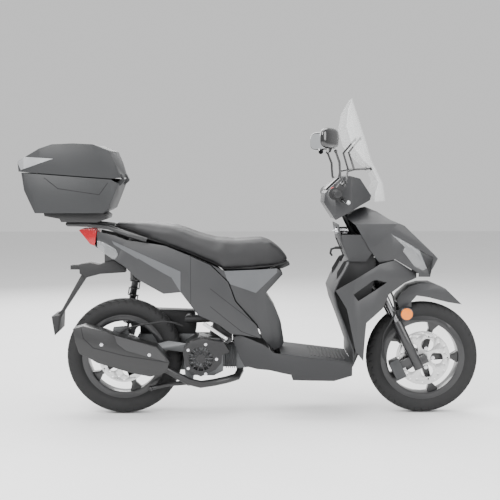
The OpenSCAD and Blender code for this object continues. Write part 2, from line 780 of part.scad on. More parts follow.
// The spring as plain rings, one to a turn, joined by short upright links
module shock_spring() color("#0f0f10") on_shock() {
  z0 = 27.3;
  z1 = shock_len - 24.3;
  pitch = (z1 - z0 - wire_d) / (spring_turns - 1);
  for (i = [0:spring_turns - 1]) translate([0, 0, z0 + wire_d / 2 + i * pitch])
    rotate_extrude() translate([spring_d / 2 - wire_d / 2, 0]) circle(d = wire_d, $fn = 16);
  for (i = [0:spring_turns - 2]) rotate([0, 0, i * 180])
    translate([spring_d / 2 - wire_d / 2, 0, z0 + wire_d / 2 + i * pitch])
      cylinder(d = wire_d * 0.7, h = pitch);
}

module centre_stand() color("#1c1c1d") with_rear() {
  leg = [[0, 0, 0], [-90, 14, -4], [-166, 26, -20]];
  translate([stand_pivot[0], 0, stand_pivot[1]]) {
    cross_bar(stand_pin_d, -82, 82);
    for (s = [-1, 1]) {
      translate([0, s * 70, 0]) cross_bar(26, -9, 9);
      tube([for (p = leg) [p[0], s * (70 + p[1]), p[2]]], 20);
      translate([-166, s * 96, -20]) sphere(d = 24);
    }
    translate([-30, 0, -1]) cross_bar(14, -72, 72);
  }
}

// ---- Frame ----

// The front of the machine moves with the front axle
module with_front() { from_rear() translate([front_dx, 0, 0]) children(); }
stretch_x = 700;
function stretched(points) =
  [for (p = points) [p[0] + (p[0] > stretch_x ? front_dx : 0), p[1]]];
// Heights of the seat group and of the floor follow these
seat_dz = seat_h - 777;
floor_dz = floor_z - 283;
lift_z = 560;
function lifted(points) = [for (p = points) [p[0], p[1] + (p[1] > lift_z ? seat_dz : 0)]];

rail_y = 78;
tab_x = 196;
seat_hinge = [724, 672];
seat_pin_d = 8;
peg_hinge = [452, 352];
peg_y = 118;
peg_pin_d = 8;
peg_lean = 56;
head_top = head_z + head_h;

// Upright of a peg's hinge pin: +X along the folded peg, back and up, +Z along the pin
module on_peg(s) {
  from_rear() translate([peg_hinge[0], s * peg_y, peg_hinge[1]])
    rotate([0, 90 - peg_lean, 0]) rotate([0, 0, 180]) children();
}

module frame_tubes() color("#202123") {
  fx = front_dx;
  dz = seat_dz;
  difference() {
    union() {
      on_fork() translate([0, 0, head_z]) cylinder(r = bearing_r + 6, h = head_h);
      from_rear() {
        tube([
          [1080 + fx, 0, 655], [1052 + fx, 0, 556], [1048 + fx, 0, 430], [1046 + fx, 0, 300],
          [1012 + fx, 0, 222], [935 + fx, 0, 230]
        ], 36);
        translate([940 + fx, 0, 234]) cross_bar(28, -rail_y, rail_y);
        for (s = [-1, 1]) {
          tube([
            [950 + fx, s * rail_y, 234], [690, s * rail_y, 236], [640, s * rail_y, 290],
            [612, s * rail_y, 430], [592, s * rail_y, 560], [582, s * rail_y, 612 + dz],
            [450, s * rail_y, 612 + dz], [300, s * rail_y, 682 + dz], [60, s * rail_y, 733 + dz],
            [-70, s * 60, 768 + dz]
          ], 28);
          // Hanger plate from the seat rail to the engine's pivot
          side([
            [384, pivot[1] - 12], [440, pivot[1] - 12], [452, 332], [480, 332], [480, 362],
            [430, pivot[1] + 20],
            [500, 614 + dz], [450, 614 + dz]
          ], s * 69 - 3.5, s * 69 + 3.5);
          // Arm and clevis of the passenger peg
          bar([470, s * 64, 341], [470, s * (peg_y - 2), 341], 14);
          // Shock mount, on the left only, and its mirror on the right for the rack
          bar([42, s * rail_y, 735 + dz], [42, s * rail_y, 608], 18);
        }
        for (p = [[582, 612 + dz], [60, 733 + dz], [592, 560]])
          translate([p[0], 0, p[1]]) cross_bar(22, -rail_y, rail_y);
        // Cross tube whose ends carry the side panels
        translate([tab_x, 0, 704 + dz]) cross_bar(18, -tab_half, tab_half);
        translate([post_tab_x, 0, 520]) cross_bar(12, -post_tab_half, post_tab_half);
        // Battery shelf
        side([[628, 311], [690, 311], [690, 317.7], [628, 317.7]], -rail_y + 6, rail_y - 6);
        translate([-70, 0, 768 + dz]) cross_bar(22, -60, 60);
        translate([pivot[0], 0, pivot[1]]) cross_bar(pivot_pin_d, -70, 70);
        translate([42, 0, 608]) cross_bar(shock_pin_d, rail_y, shock_y + 13);
        // Tongue under the tail that carries the number-plate bracket
        side([[-85, 768 + dz], [-85, 677], [-47, 687], [-20, 671], [-20, 768 + dz]], -26, 26);
        // Seat hinge bracket and pin
        side([
          [580, 604 + dz], [640, 614 + dz], [686, 648 + dz], [704, 650 + dz], [736, 664 + dz],
          [732, 680 + dz], [716, 678 + dz], [684, 662 + dz], [580, 620 + dz]
        ], -20, 20);
        translate([seat_hinge[0], 0, seat_hinge[1] + dz]) cross_bar(seat_pin_d, -38, 38);
      }
      for (s = [-1, 1]) on_peg(s) {
        for (z = [-12, 7.3]) translate([0, 0, z]) cylinder(r = 11, h = 4.7);
        for (z = [-12, 7.3]) translate([-20, -8, z]) cube([20, 16, 4.7]);
        translate([-22, -8, -12]) cube([9, 16, 24]);
        translate([0, 0, -12]) cylinder(d = peg_pin_d, h = 24);
      }
    }
    on_fork() {
      translate([0, 0, head_z - 1]) cylinder(r = bearing_r + fit, h = bearing_t + 1);
      translate([0, 0, head_top - bearing_t]) cylinder(r = bearing_r + fit, h = bearing_t + 1);
      translate([0, 0, head_z - 1]) cylinder(r = stem_r + 5, h = head_h + 2);
    }
  }
}

module footpeg(s) color("#c4c6c8") on_peg(s) difference() {
  union() {
    translate([0, 0, -7]) cylinder(r = 10, h = 14);
    translate([0, -8, -7]) cube([118, 16, 14]);
  }
  translate([0, 0, -8]) cylinder(d = peg_pin_d + 2 * fit, h = 16);
}
module right_footpeg() footpeg(-1);
module left_footpeg() footpeg(1);

module fuel_tank() color("#4b4c4f") with_front()
  side([[725, 214], [908, 214], [925.5, 226], [925.5, 252], [725, 270]], -58, 58);

module battery() color("#1f1f20") from_rear() translate([646, -43, 318]) cube([38, 86, 105]);

// ---- Floor and skirts ----

floor_line = [[690, 290], [817, 273], [1000.6, 251]];
floor_halves = [[480, 120], [640, 150], [700, 168], [820, floor_half], [1060, floor_half]];
function floor_up(points, by) = [for (p = points) [p[0], p[1] + by + floor_dz]];

module foot_board() color("#232426") from_rear() intersection() {
  side(stretched(concat(floor_up(floor_line, 0), floor_up([floor_line[2], floor_line[1],
    floor_line[0]], 4))), -far, far);
  plan(stretched(floor_halves), 0, far);
}

skirt_low = [
  [1000, 196], [922, 173], [743, 176], [735, 199], [686, 208], [643, 216], [588, 219],
  [532, 232], [515, 265], [489, 324], [486, 357], [513, 368], [615, 328], [664, 292]
];
module belly_skirt() color("#2b2c2e") from_rear() {
  edge = floor_up(floor_line, 0);
  outline = stretched(concat(edge, skirt_low));
  inside = stretched([
    [400, 400], [400, 150], [690, 150], [690, 213], [746, 180], [922, 177], [1020, 204],
    [1020, 400]
  ]);
  difference() {
    intersection() {
      side(outline, -far, far);
      plan(stretched(floor_halves), 0, far);
    }
    intersection() {
      side(inside, -far, far);
      plan(stretched(narrower(floor_halves, wall)), 0, far);
    }
  }
}

// ---- Front body ----

apron_halves = [
  [900, shield_half], [1010, shield_half - 4], [1100, shield_half - 35],
  [1200, shield_half - 85], [1300, shield_half - 135]
];
cowl_halves = [
  [930, nose_half - 20], [960, nose_half - 12], [1080, nose_half], [1180, nose_half - 15],
  [1300, nose_half - 58], [1365, nose_half - 76], [1398, 30]
];

// A skin of one wall between two mirror-image edges
module ring(halves, z0, z1) {
  difference() {
    plan(halves, z0, z1);
    plan(narrower(halves, wall), z0 - 1, z1 + 1);
  }
}

module front_apron() color("#333437") with_front() difference() {
  intersection() {
    side([
      [923, 570], [972, 490], [1011, 306], [1046, 262], [1053, 362], [1059, 427], [1135, 488],
      [1160, 545], [1236, 592], [1292, 612], [1292, 631], [1190, 695], [1118, 680]
    ], -far, far);
    ring(apron_halves, 200, 800);
  }
  side([[1000, 552], [1022, 524], [1150, 598], [1105, 612], [1087, 610]], -far, far);
}

// Inner shield that faces the rider, one skin that follows the apron's plan
shield_line = [
  [1001, 254.4], [1000, 306], [963, 411], [928, 500], [914, 560], [936, 612], [962, 655],
  [984, 702], [952, 776], [938, 850]
];
pocket = [940, 1034, 668, 784];
skin = 5;
module leg_shield() color("#232426") with_front() {
  shield = concat(shield_line,
    [for (i = [len(shield_line) - 1:-1:0]) [shield_line[i][0] + skin, shield_line[i][1]]]);
  difference() {
    union() {
      intersection() {
        side(shield, -far, far);
        plan(narrower(apron_halves, wall + 0.3), 200, 690);
      }
      intersection() {
        side(shield, -far, far);
        plan(narrower(cowl_halves, wall + 0.3), 690, 850);
      }
      // Side walls that tuck inside the cowl
      intersection() {
        side([
          [966, 690], [1060, 690], [1092, 735], [1048, 806], [954, 806], [957, 776], [989, 702]
        ], -far, far);
        ring(narrower(cowl_halves, wall + 0.3), 600, 900);
      }
    }
    // Mouth of the glove pocket
    translate([900, 42, pocket[2] + 4]) cube([120, 84, pocket[3] - pocket[2] - 8]);
    // Hole for the ignition lock
    translate([900, -60, lock_z]) rotate([0, 90, 0]) cylinder(r = lock_r + fit, h = 150);
    translate([900, 0, hook_z]) rotate([0, 90, 0]) cylinder(r = hook_r + fit, h = 150);
  }
  // Glove pocket, a tray open to the rider
  difference() {
    translate([pocket[0], 38, pocket[2]]) cube([130, 92, pocket[3] - pocket[2]]);
    translate([pocket[0] - 10, 42, pocket[2] + 4]) cube([136, 84, pocket[3] - pocket[2] - 8]);
    side(concat([[800, 600]], moved([for (i = [5:len(shield_line) - 1]) shield_line[i]], skin - 1),
      [[800, 850]]), -far, far);
  }
}

lock_r = 15;
lock_z = 822;
module ignition_lock() color("#b0b2b4") with_front() translate([932, -60, lock_z])
  rotate([0, 90, 0]) {
    cylinder(r = lock_r, h = 52);
    translate([-2.5, -9, -14]) cube([5, 18, 15]);
  }

hook_r = 6;
hook_z = 740;
module bag_hook() color("#2d2e30") with_front() translate([0, 0, hook_z]) {
  translate([938, 0, 0]) rotate([0, 90, 0]) cylinder(r = hook_r, h = 44);
  tube([[942, 0, 0], [922, 0, -6], [918, 0, -24], [926, 0, -36]], 9);
}

cowl_side = [
  [1046, 917], [1070, 923], [1116, 904], [1166, 871], [1230, 844], [1340, 742], [1393, 694],
  [1358, 646], [1352, 616], [1298, 618], [1298, 634], [1190, 699], [1117, 685], [1076, 740],
  [1032, 817], [1016, 846], [975, 880]
];
cowl_inside = [
  [1030, 900], [1070, 919], [1115, 900], [1164, 867], [1228, 840], [1337, 739], [1387, 694],
  [1353, 646], [1347, 616], [1340, 590], [1290, 590], [1100, 640], [960, 800], [960, 880]
];
cowl_front = [
  [-160, 560], [-160, 780], [-128, 852], [-62, 900], [0, 925], [62, 900], [128, 852], [160, 780],
  [160, 560]
];
lens_side = [
  [1168, 810], [1232, 750], [1223, 733], [1281, 662], [1317, 645], [1338, 654], [1364, 702],
  [1304, 733], [1238, 773]
];

module front(points, x0, x1) {
  translate([x0, 0, 0]) rotate([90, 0, 90]) linear_extrude(x1 - x0) polygon(points);
}

module cowl_skin() difference() {
  intersection() {
    side(cowl_side, -far, far);
    plan(cowl_halves, 500, 1000);
    front(cowl_front, 900, 1450);
  }
  intersection() {
    side(cowl_inside, -far, far);
    plan(narrower(cowl_halves, wall), 500, 1000);
    translate([0, 0, -wall - 1]) front(cowl_front, 900, 1450);
  }
}

module front_cowl() color("#303134") with_front() difference() {
  cowl_skin();
  side(lens_side, -far, far);
}

module headlight_lens() color("#dfe6ea", 0.5) with_front() intersection() {
  cowl_skin();
  side(inset(lens_side, pane_gap), -far, far);
}

// ---- Rear body ----

body_halves = [
  [-200, tail_half - 12], [-120, tail_half], [0, tail_half + 18], [150, hip_half - 20],
  [300, hip_half - 5], [450, hip_half], [610, hip_half - 4], [720, hip_half - 8]
];
tab_half = lookup(tab_x - 9, body_halves) - wall - 0.3;
post_halves = [[380, hip_half - 4], [470, hip_half - 6], [590, 116], [680, 84], [712, 66]];
post_tab_x = 604;
post_tab_half = lookup(post_tab_x + 6, post_halves) - wall - 0.3;
panel_side = [
  [-120, 753], [-110, 819], [-31, 801], [22, 781], [91, 773], [190, 758], [290, 718],
  [384, 676], [462, 600], [493, 515], [587, 408], [607, 354], [515, 370], [476, 373],
  [423, 414], [332, 456], [305, 492], [256, 556], [182, 548], [66, 611], [12, 664], [-41, 697]
];
lamp_side = [
  [-118, 764], [-107, 779], [-71, 767], [-27, 741], [-17, 718], [-27, 699], [-41, 697],
  [-100, 734]
];

module side_panel(s) color("#2c2d30") from_rear() difference() {
  intersection() {
    side(lifted(panel_side), s > 0 ? 30 : -far, s > 0 ? far : -30);
    ring(body_halves, 300, 900);
  }
  side(lifted(lamp_side), -far, far);
}
module right_side_panel() side_panel(-1);
module left_side_panel() side_panel(1);

module tail_light() from_rear() {
  color("#a8141c") intersection() {
    side(lifted([
      [-191, 823], [-177, 829], [-124, 831], [-112, 818], [-120.8, 755], [-141, 762]
    ]), -far, far);
    plan(body_halves, 600, 900);
  }
  color("#d8dcde") intersection() {
    side(lifted(inset(lamp_side, pane_gap)), -far, far);
    ring(body_halves, 600, 900);
  }
}

post_side = [
  [388, 678], [447, 649], [677, 655], [699, 640], [702, 628], [626, 548], [668, 482],
  [695, 415], [709, 328], [699, 308], [664, 296], [611, 352], [591, 410], [497, 517],
  [466, 602]
];
post_inside = [
  [300, 720], [684, 720], [694, 638], [696, 630], [620, 549], [664, 481], [691, 414],
  [704, 328], [695, 290], [560, 290], [460, 500], [300, 600]
];
module seat_post_cover() color("#3a3b3e") from_rear() difference() {
  intersection() {
    side(lifted(post_side), -far, far);
    plan(post_halves, 250, 700 + seat_dz);
  }
  intersection() {
    side(lifted(post_inside), -far, far);
    plan(narrower(post_halves, wall), 200, 800);
  }
}

module storage_box() color("#18181a") from_rear() difference() {
  side(lifted([
    [216, 566], [216, 704], [300, 694], [391, 652], [447, 626], [566, 628], [566, 500],
    [545, 482], [470, 482], [340, 510]
  ]), -rail_y + 14.4, rail_y - 14.4);
  side(lifted([
    [219, 568], [219, 800], [563, 800], [563, 502], [544, 485], [471, 485], [342, 513]
  ]), -rail_y + 17.4, rail_y - 17.4);
}

seat_low = [
  [-42, 843], [-5, 831], [90, 800], [190, 770], [298, 731], [393, 690], [445, 662],
  [560, 664], [674, 672], [716, 682]
];
seat_up = [
  [730, 690], [728, 702], [693, 743], [648, 775], [613, 780], [559, 777], [493, 772],
  [404, 779], [337, 797], [270, 823], [226, 837], [114, 849], [-10, 849], [-44, 847]
];
seat_halves = [
  [-60, 52], [-20, 76], [60, 104], [200, seat_w / 2 - 18], [300, seat_w / 2 - 8],
  [450, seat_w / 2], [560, seat_w / 2 - 20], [650, 98], [715, 64], [740, 40]
];
pan_halves = [
  [-60, 44], [-20, 58], [60, 84], [200, 104], [300, 112], [450, 112], [560, 106], [650, 76],
  [715, 48]
];
pan_t = 8;

module with_seat() { from_rear() translate([0, 0, seat_dz]) children(); }

module seat_cushion() color("#28282a") with_seat() intersection() {
  side(concat(seat_low, seat_up), -far, far);
  plan(seat_halves, 500, 1000);
}

module seat_pan() color("#141415") with_seat() difference() {
  union() {
    intersection() {
      side(concat(seat_low, [for (i = [len(seat_low) - 1:-1:0])
        [seat_low[i][0], seat_low[i][1] - pan_t]]), -far, far);
      plan(pan_halves, 500, 1000);
    }
    for (s = [-1, 1]) side([[706, 676], [724, 660], [736, 672], [724, 684]], s * 29 - 8, s * 29 + 8);
  }
  translate([seat_hinge[0], 0, seat_hinge[1]]) cross_bar(seat_pin_d + 2 * fit, -60, 60);
  side([[680, 600], [760, 600], [760, 689], [680, 689]], -20.5, 20.5);
}

// ---- Rack, case and number-plate bracket ----

plate_side = [
  [-337, 902], [-334, 886], [-269, 874], [-262, 860], [-110, 858], [-66, 872], [-62, 886],
  [-81, 902]
];
module rear_rack() color("#2f3032") with_seat() {
  for (s = [-1, 1]) {
    tube([
      [110, s * 124, 783], [29, s * 120, 808], [-57, s * 102, 838], [-151, s * 84, 849],
      [-240, s * 62, 849.5]
    ], 22);
    side([[16, 759.6], [50, 750.5], [64, 776], [30, 790]], s * (rail_y + 2) - 5,
      s * (rail_y + 2) + 5);
    bar([44, s * rail_y, 776], [44, s * 120, 803], 14);
  }
  for (p = [[-240, 849.5, 62], [-151, 849, 84]])
    translate([p[0], 0, p[1]]) cross_bar(18, -p[2], p[2]);
  side(plate_side, -104, 104);
}

module plate_holder() color("#1c1c1d") from_rear() {
  side([
    [-197, 669], [-151, 676], [-107, 667], [-101, 671], [-85, 676.7], [-47, 686.7], [-20, 670.7],
    [4, 654], [7, 634], [-104, 627], [-168, 610], [-195, 629]
  ], -34, 34);
  side([[-190, 620], [-166, 612], [-268, 458], [-281, 431], [-312, 431], [-277, 467]], -22, 22);
  side([[-312, 445], [-279, 449], [-283, 378], [-299, 361]], -88, 88);
  side([[-236, 664], [-190, 666], [-190, 646], [-236, 646]], -26, 26);
}

case_half = case_w / 2;
case_halves = [
  [-440, case_half - 62], [-405, case_half - 22], [-330, case_half], [-120, case_half],
  [-30, case_half - 22], [30, case_half - 60]
];
base_side = [
  [-93, 902.5], [-358, 902.5], [-379, 945], [-404, 998], [-418, 1074], [-36, 1045], [-4, 1026],
  [-50, 915], [-70, 902.5]
];
lid_side = [
  [-433, 1079], [-438, 1120], [-400, 1140], [-335, 1176], [-281, 1194], [-191, 1198],
  [-108, 1194], [-41, 1167], [-18, 1115], [2, 1052], [-34, 1049]
];
case_pin = [10, 1042];
case_pin_d = 6;
knuckle_y = 100;

module with_case() { from_rear() translate([tail_dx, 0, seat_dz]) children(); }

module case_base() color("#222325") with_case() {
  t = case_wall;
  difference() {
    intersection() {
      side(base_side, -far, far);
      plan(case_halves, 800, 1300);
    }
    intersection() {
      side([
        [-90, 902.5 + t], [-355, 902.5 + t], [-374, 945], [-399, 998], [-414, 1090],
        [-38, 1060], [-12, 1026], [-55, 918]
      ], -far, far);
      plan(narrower(case_halves, t), 800, 1300);
    }
  }
  // Hinge ears and pins at the front
  for (s = [-1, 1]) for (y = [-16, 16])
    side([[-22, 1018], [-6, 1018], [14, 1036], [14, 1048], [4, 1048], [-22, 1030]],
      s * knuckle_y + y - 4, s * knuckle_y + y + 4);
  for (s = [-1, 1]) translate([case_pin[0], s * knuckle_y, case_pin[1]])
    cross_bar(case_pin_d, -20, 20);
}

module case_lid() color("#37383b") with_case() {
  t = case_wall;
  difference() {
    intersection() {
      side(lid_side, -far, far);
      plan(case_halves, 800, 1300);
    }
    intersection() {
      side([
        [-428, 1070], [-433, 1118], [-398, 1136], [-333, 1172], [-280, 1190], [-191, 1194],
        [-109, 1190], [-45, 1164], [-22, 1114], [-3, 1052], [-34, 1040]
      ], -far, far);
      plan(narrower(case_halves, t), 800, 1300);
    }
  }
  for (s = [-1, 1]) translate([0, s * knuckle_y, 0]) difference() {
    union() {
      side([[-10, 1066], [-2, 1054], [case_pin[0], case_pin[1] - 4], [case_pin[0] + 5, 1044],
        [4, 1068]], -11.6, 11.6);
      translate([case_pin[0], 0, case_pin[1]]) cross_bar(case_pin_d + 6, -11.6, 11.6);
    }
    translate([case_pin[0], 0, case_pin[1]]) cross_bar(case_pin_d + 2 * fit, -13, 13);
  }
}

frame_tubes();
head_bearings();
fuel_tank();
battery();
storage_box();
foot_board();
belly_skirt();
leg_shield();
front_apron();
front_cowl();
headlight_lens();
right_side_panel();
left_side_panel();
seat_post_cover();
tail_light();
rear_rack();
plate_holder();
case_base();
case_lid();
seat_cushion();
seat_pan();
right_footpeg();
left_footpeg();
centre_stand();
bag_hook();
ignition_lock();
steering_stem();
handlebar();
handlebar_cover();
dash_panel();
left_grip();
switch_housings();
mirror_stems();
windscreen();
screen_brackets();
fork_tubes();
throttle_grip();
right_brake_lever();
left_brake_lever();
starter_button();
right_mirror();
left_mirror();
fork_sliders();
front_fender();
front_caliper();
front_rim();
front_tyre();
front_disc();
engine_case();
fan_cover();
cooling_fan();
exhaust();
air_filter_box();
rear_caliper();
rear_rim();
rear_tyre();
rear_disc();
shock_body();
shock_rod();
shock_spring();
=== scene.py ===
import json
import math

import bmesh
import bpy
import numpy as np
from mathutils import Matrix, Vector


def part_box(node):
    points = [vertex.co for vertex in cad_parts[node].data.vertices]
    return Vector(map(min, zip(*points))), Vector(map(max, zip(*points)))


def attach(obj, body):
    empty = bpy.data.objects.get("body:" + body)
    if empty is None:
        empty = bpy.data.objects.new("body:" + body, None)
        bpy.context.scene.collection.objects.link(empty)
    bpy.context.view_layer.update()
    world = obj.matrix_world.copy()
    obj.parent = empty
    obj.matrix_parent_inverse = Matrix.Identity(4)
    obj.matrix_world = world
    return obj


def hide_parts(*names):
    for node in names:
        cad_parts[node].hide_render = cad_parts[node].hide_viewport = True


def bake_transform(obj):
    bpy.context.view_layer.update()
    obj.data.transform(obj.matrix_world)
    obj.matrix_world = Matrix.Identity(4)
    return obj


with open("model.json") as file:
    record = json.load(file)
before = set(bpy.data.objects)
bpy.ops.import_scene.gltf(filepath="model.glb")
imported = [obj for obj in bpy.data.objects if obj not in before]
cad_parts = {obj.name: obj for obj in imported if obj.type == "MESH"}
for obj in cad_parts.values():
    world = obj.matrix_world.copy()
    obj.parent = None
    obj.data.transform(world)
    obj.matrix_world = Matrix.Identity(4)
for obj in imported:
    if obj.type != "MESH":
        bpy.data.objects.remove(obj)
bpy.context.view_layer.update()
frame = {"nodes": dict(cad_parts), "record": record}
MM = 0.001
AXLE_BACK = -0.571  # X of the rear axle in this frame


def place_camera():
    """The camera on the right-hand side of the scooter, at about the height of its seat."""
    data = bpy.data.cameras.new("camera")
    data.angle = math.radians(26.6)
    data.clip_end = 60
    camera = bpy.data.objects.new("camera", data)
    bpy.context.scene.collection.objects.link(camera)
    stand_point = Vector((-0.0784, -4.7, 1.086))
    aim = Vector((-0.0116, 0, 0.730))
    camera.location = stand_point
    camera.rotation_euler = (aim - stand_point).to_track_quat("-Z", "Y").to_euler()
    bpy.context.scene.camera = camera


place_camera()


# ---- Finishes ----

class Value:
    """One output in a finish's node tree. Python's operators on it add Math nodes."""

    def __init__(self, finish, socket):
        self.finish = finish
        self.socket = socket

    def maths(self, operation, *others):
        return self.finish.node("ShaderNodeMath", {"operation": operation},
                                dict(enumerate((self,) + others)))

    def after(self, operation, first):
        return self.finish.node("ShaderNodeMath", {"operation": operation},
                                {0: first, 1: self})

    def __add__(self, other):
        return self.maths("ADD", other)

    def __radd__(self, other):
        return self.after("ADD", other)

    def __mul__(self, other):
        return self.maths("MULTIPLY", other)

    def __rmul__(self, other):
        return self.after("MULTIPLY", other)

    def part(self, name):
        """Another output of the same node."""
        return Value(self.finish, self.socket.node.outputs[name])


class Finish:
    """A material whose nodes are made by one method."""

    def __init__(self, name):
        self.material = bpy.data.materials.new(name)
        self.material.use_nodes = True
        self.tree = self.material.node_tree
        self.tree.nodes.clear()
        self.place = self.node("ShaderNodeTexCoord", {}, {}).part("Object")

    def node(self, kind, settings, values):
        made = self.tree.nodes.new(kind)
        for key, setting in settings.items():
            setattr(made, key, setting)
        for key, value in values.items():
            socket = made.inputs[key]
            if isinstance(value, Value):
                self.tree.links.new(value.socket, socket)
            else:
                socket.default_value = value
        shown = [socket for socket in made.outputs if socket.enabled]
        return Value(self, shown[0]) if shown else None

    def noise(self, scale, detail):
        return self.node("ShaderNodeTexNoise", {},
                         {"Vector": self.place, "Scale": scale, "Detail": detail})

    def blend(self, factor, low, high):
        return self.node("ShaderNodeMix", {"data_type": "RGBA"},
                         {0: factor, 6: low, 7: high})

    def span(self, value, low, high):
        return self.node("ShaderNodeMapRange", {"clamp": True},
                         {0: value, 3: low, 4: high})

    def bump(self, height, depth):
        return self.node("ShaderNodeBump", {},
                         {"Height": height, "Distance": depth, "Strength": 1.0})

    def shade(self, **sockets):
        """Ends the tree in a Principled shader."""
        values = {key.replace("_", " ").title().replace("Ior", "IOR"): value
                  for key, value in sockets.items()}
        shader = self.node("ShaderNodeBsdfPrincipled", {}, values)
        self.node("ShaderNodeOutputMaterial", {}, {"Surface": shader})
        return self.material


def rgba(colour, times):
    """A colour made lighter or darker, as the sockets take it."""
    return tuple(min(1.0, part * times) for part in colour[:3]) + (1.0,)


def moulded(name, colour, rough=0.55, grain=900.0, depth=0.00012, coat=0.0):
    """Moulded plastic: a fine leather grain, with slow changes of tone and gloss."""
    it = Finish(name)
    cloud = it.noise(9.0, 4)
    fine = it.noise(grain, 3)
    return it.shade(base_color=it.blend(cloud, rgba(colour, 0.86), rgba(colour, 1.14)),
                    roughness=it.span(cloud + fine * 0.3, rough - 0.07, rough + 0.09),
                    coat_weight=coat, coat_roughness=0.12,
                    normal=it.bump(fine, depth))


def painted(name, colour, rough=0.3, coat=0.6, metallic=0.0):
    """Paint: a faint orange peel under a clear coat, and a little dust."""
    it = Finish(name)
    peel = it.noise(260.0, 2)
    dust = it.noise(14.0, 6)
    return it.shade(base_color=it.blend(dust, rgba(colour, 0.9), rgba(colour, 1.2)),
                    roughness=it.span(dust, rough - 0.06, rough + 0.1), metallic=metallic,
                    coat_weight=coat, coat_roughness=0.08, normal=it.bump(peel, 0.00006))


def bare_metal(name, colour, rough=0.3, depth=0.00003):
    """Bare metal: polished, cast or drawn, with fine scuffs."""
    it = Finish(name)
    scuff = it.noise(420.0, 4)
    cloud = it.noise(22.0, 5)
    return it.shade(base_color=it.blend(cloud, rgba(colour, 0.9), rgba(colour, 1.06)),
                    roughness=it.span(scuff * 0.6 + cloud * 0.4, rough - 0.08, rough + 0.12),
                    metallic=1.0, normal=it.bump(scuff, depth))


def rubber(name, colour, rough=0.78):
    """Rubber: matt, a little dusty, with a fine sand in its surface."""
    it = Finish(name)
    dust = it.noise(30.0, 6)
    sand = it.noise(1500.0, 2)
    return it.shade(base_color=it.blend(dust, rgba(colour, 0.75), rgba(colour, 1.5)),
                    roughness=it.span(dust, rough - 0.1, rough + 0.1),
                    normal=it.bump(sand, 0.00008))


def lens(name, colour, rough, alpha, transmission=0.0, ribs=0.0):
    """A lamp or screen plastic, with fine haze and, in a lamp, upright ribs."""
    it = Finish(name)
    haze = it.noise(25.0, 5)
    across = it.node("ShaderNodeSeparateXYZ", {}, {0: it.place}).part("X")
    height = (across * ribs).maths("SINE") if ribs else it.noise(60.0, 2)
    return it.shade(base_color=it.blend(haze, rgba(colour, 0.94), rgba(colour, 1.04)),
                    roughness=it.span(haze, rough, rough + 0.05), alpha=alpha,
                    transmission_weight=transmission, ior=1.49,
                    normal=it.bump(height, 0.0004 if ribs else 0.00002))


GRAPHITE = (0.02, 0.0205, 0.022)
finishes = {
    "frame_paint": painted("frame powder coat", (0.009, 0.009, 0.0099), 0.42, 0.2),
    "bearing_steel": bare_metal("bearing steel", (0.6, 0.6, 0.62), 0.25),
    "tank_plastic": moulded("tank plastic", (0.024, 0.024, 0.026)),
    "battery_plastic": moulded("battery plastic", (0.0125, 0.0125, 0.0125)),
    "inner_plastic": moulded("inner black plastic", (0.0088, 0.0088, 0.0096), 0.6),
    "inner_grey_plastic": moulded("inner grey plastic", (0.0143, 0.0147, 0.016), 0.58),
    "skirt_plastic": moulded("skirt plastic", (0.0126, 0.013, 0.0143), 0.55),
    "body_plastic": moulded("matt graphite body paint", GRAPHITE, 0.42, 1400.0, 0.00004,
                            coat=0.08),
    "clear_lens": lens("clear lamp lens", (0.344, 0.352, 0.36), 0.06, 0.55, 0.3, 700.0),
    "red_lens": lens("red lamp lens", (0.4, 0.0096, 0.016), 0.1, 1.0, 0.0, 900.0),
    "rack_paint": painted("rack powder coat", (0.0112, 0.0112, 0.012), 0.45, 0.15),
    "case_plastic": moulded("top case plastic", (0.0151, 0.016, 0.0172), 0.5, 700.0, 0.00018),
    "seat_cover": moulded("seat vinyl", (0.0092, 0.0092, 0.0101), 0.52, 520.0, 0.0003),
    "peg_aluminium": bare_metal("cast peg aluminium", (0.68, 0.69, 0.7), 0.36),
    "bright_steel": bare_metal("bright steel", (0.66, 0.66, 0.68), 0.24),
    "dash_plastic": moulded("dark dash window", (0.008, 0.008, 0.009), 0.3, 300.0, 0.00001,
                            coat=0.25),
    "grip_rubber": rubber("grip rubber", (0.008, 0.008, 0.0085), 0.72),
    "black_metal": painted("gloss black bar paint", (0.006, 0.006, 0.0065), 0.22, 0.7),
    "screen_plastic": lens("clear screen", (0.95, 0.97, 0.97), 0.03, 0.16),
    "chrome": bare_metal("chrome", (0.2, 0.2, 0.205), 0.22, depth=0.00001),
    "lever_aluminium": bare_metal("lever aluminium", (0.58, 0.59, 0.6), 0.3),
    "red_button": painted("red switch plastic", (0.5, 0.02, 0.025), 0.35, 0.3),
    "mirror_shell": painted("gloss black mirror shell", (0.005, 0.005, 0.0055), 0.12, 1.0),
    "slider_paint": painted("fork slider paint", (0.012, 0.012, 0.013), 0.34, 0.4),
    "caliper_metal": bare_metal("cast caliper aluminium", (0.0756, 0.0774, 0.0792), 0.42),
    "rim_paint": painted("satin black rim paint", (0.0072, 0.0072, 0.0081), 0.34, 0.4),
    "tyre": rubber("tyre rubber", (0.0076, 0.0076, 0.008), 0.82),
    "disc_steel": bare_metal("ground disc steel", (0.6, 0.6, 0.6), 0.26),
    "engine_aluminium": bare_metal("cast engine aluminium", (0.11, 0.1125, 0.115), 0.5,
                                   depth=0.0001),
    "fan_plastic": moulded("fan shroud plastic", (0.008, 0.008, 0.0088), 0.5),
    "fan_metal": bare_metal("fan metal", (0.4, 0.41, 0.42), 0.4),
    "exhaust_paint": painted("satin exhaust paint", (0.009, 0.009, 0.0095), 0.4, 0.15),
    "shock_paint": painted("shock paint", (0.008, 0.008, 0.009), 0.3, 0.4),
    "spring_paint": painted("spring paint", (0.007, 0.007, 0.0075), 0.26, 0.7),
}

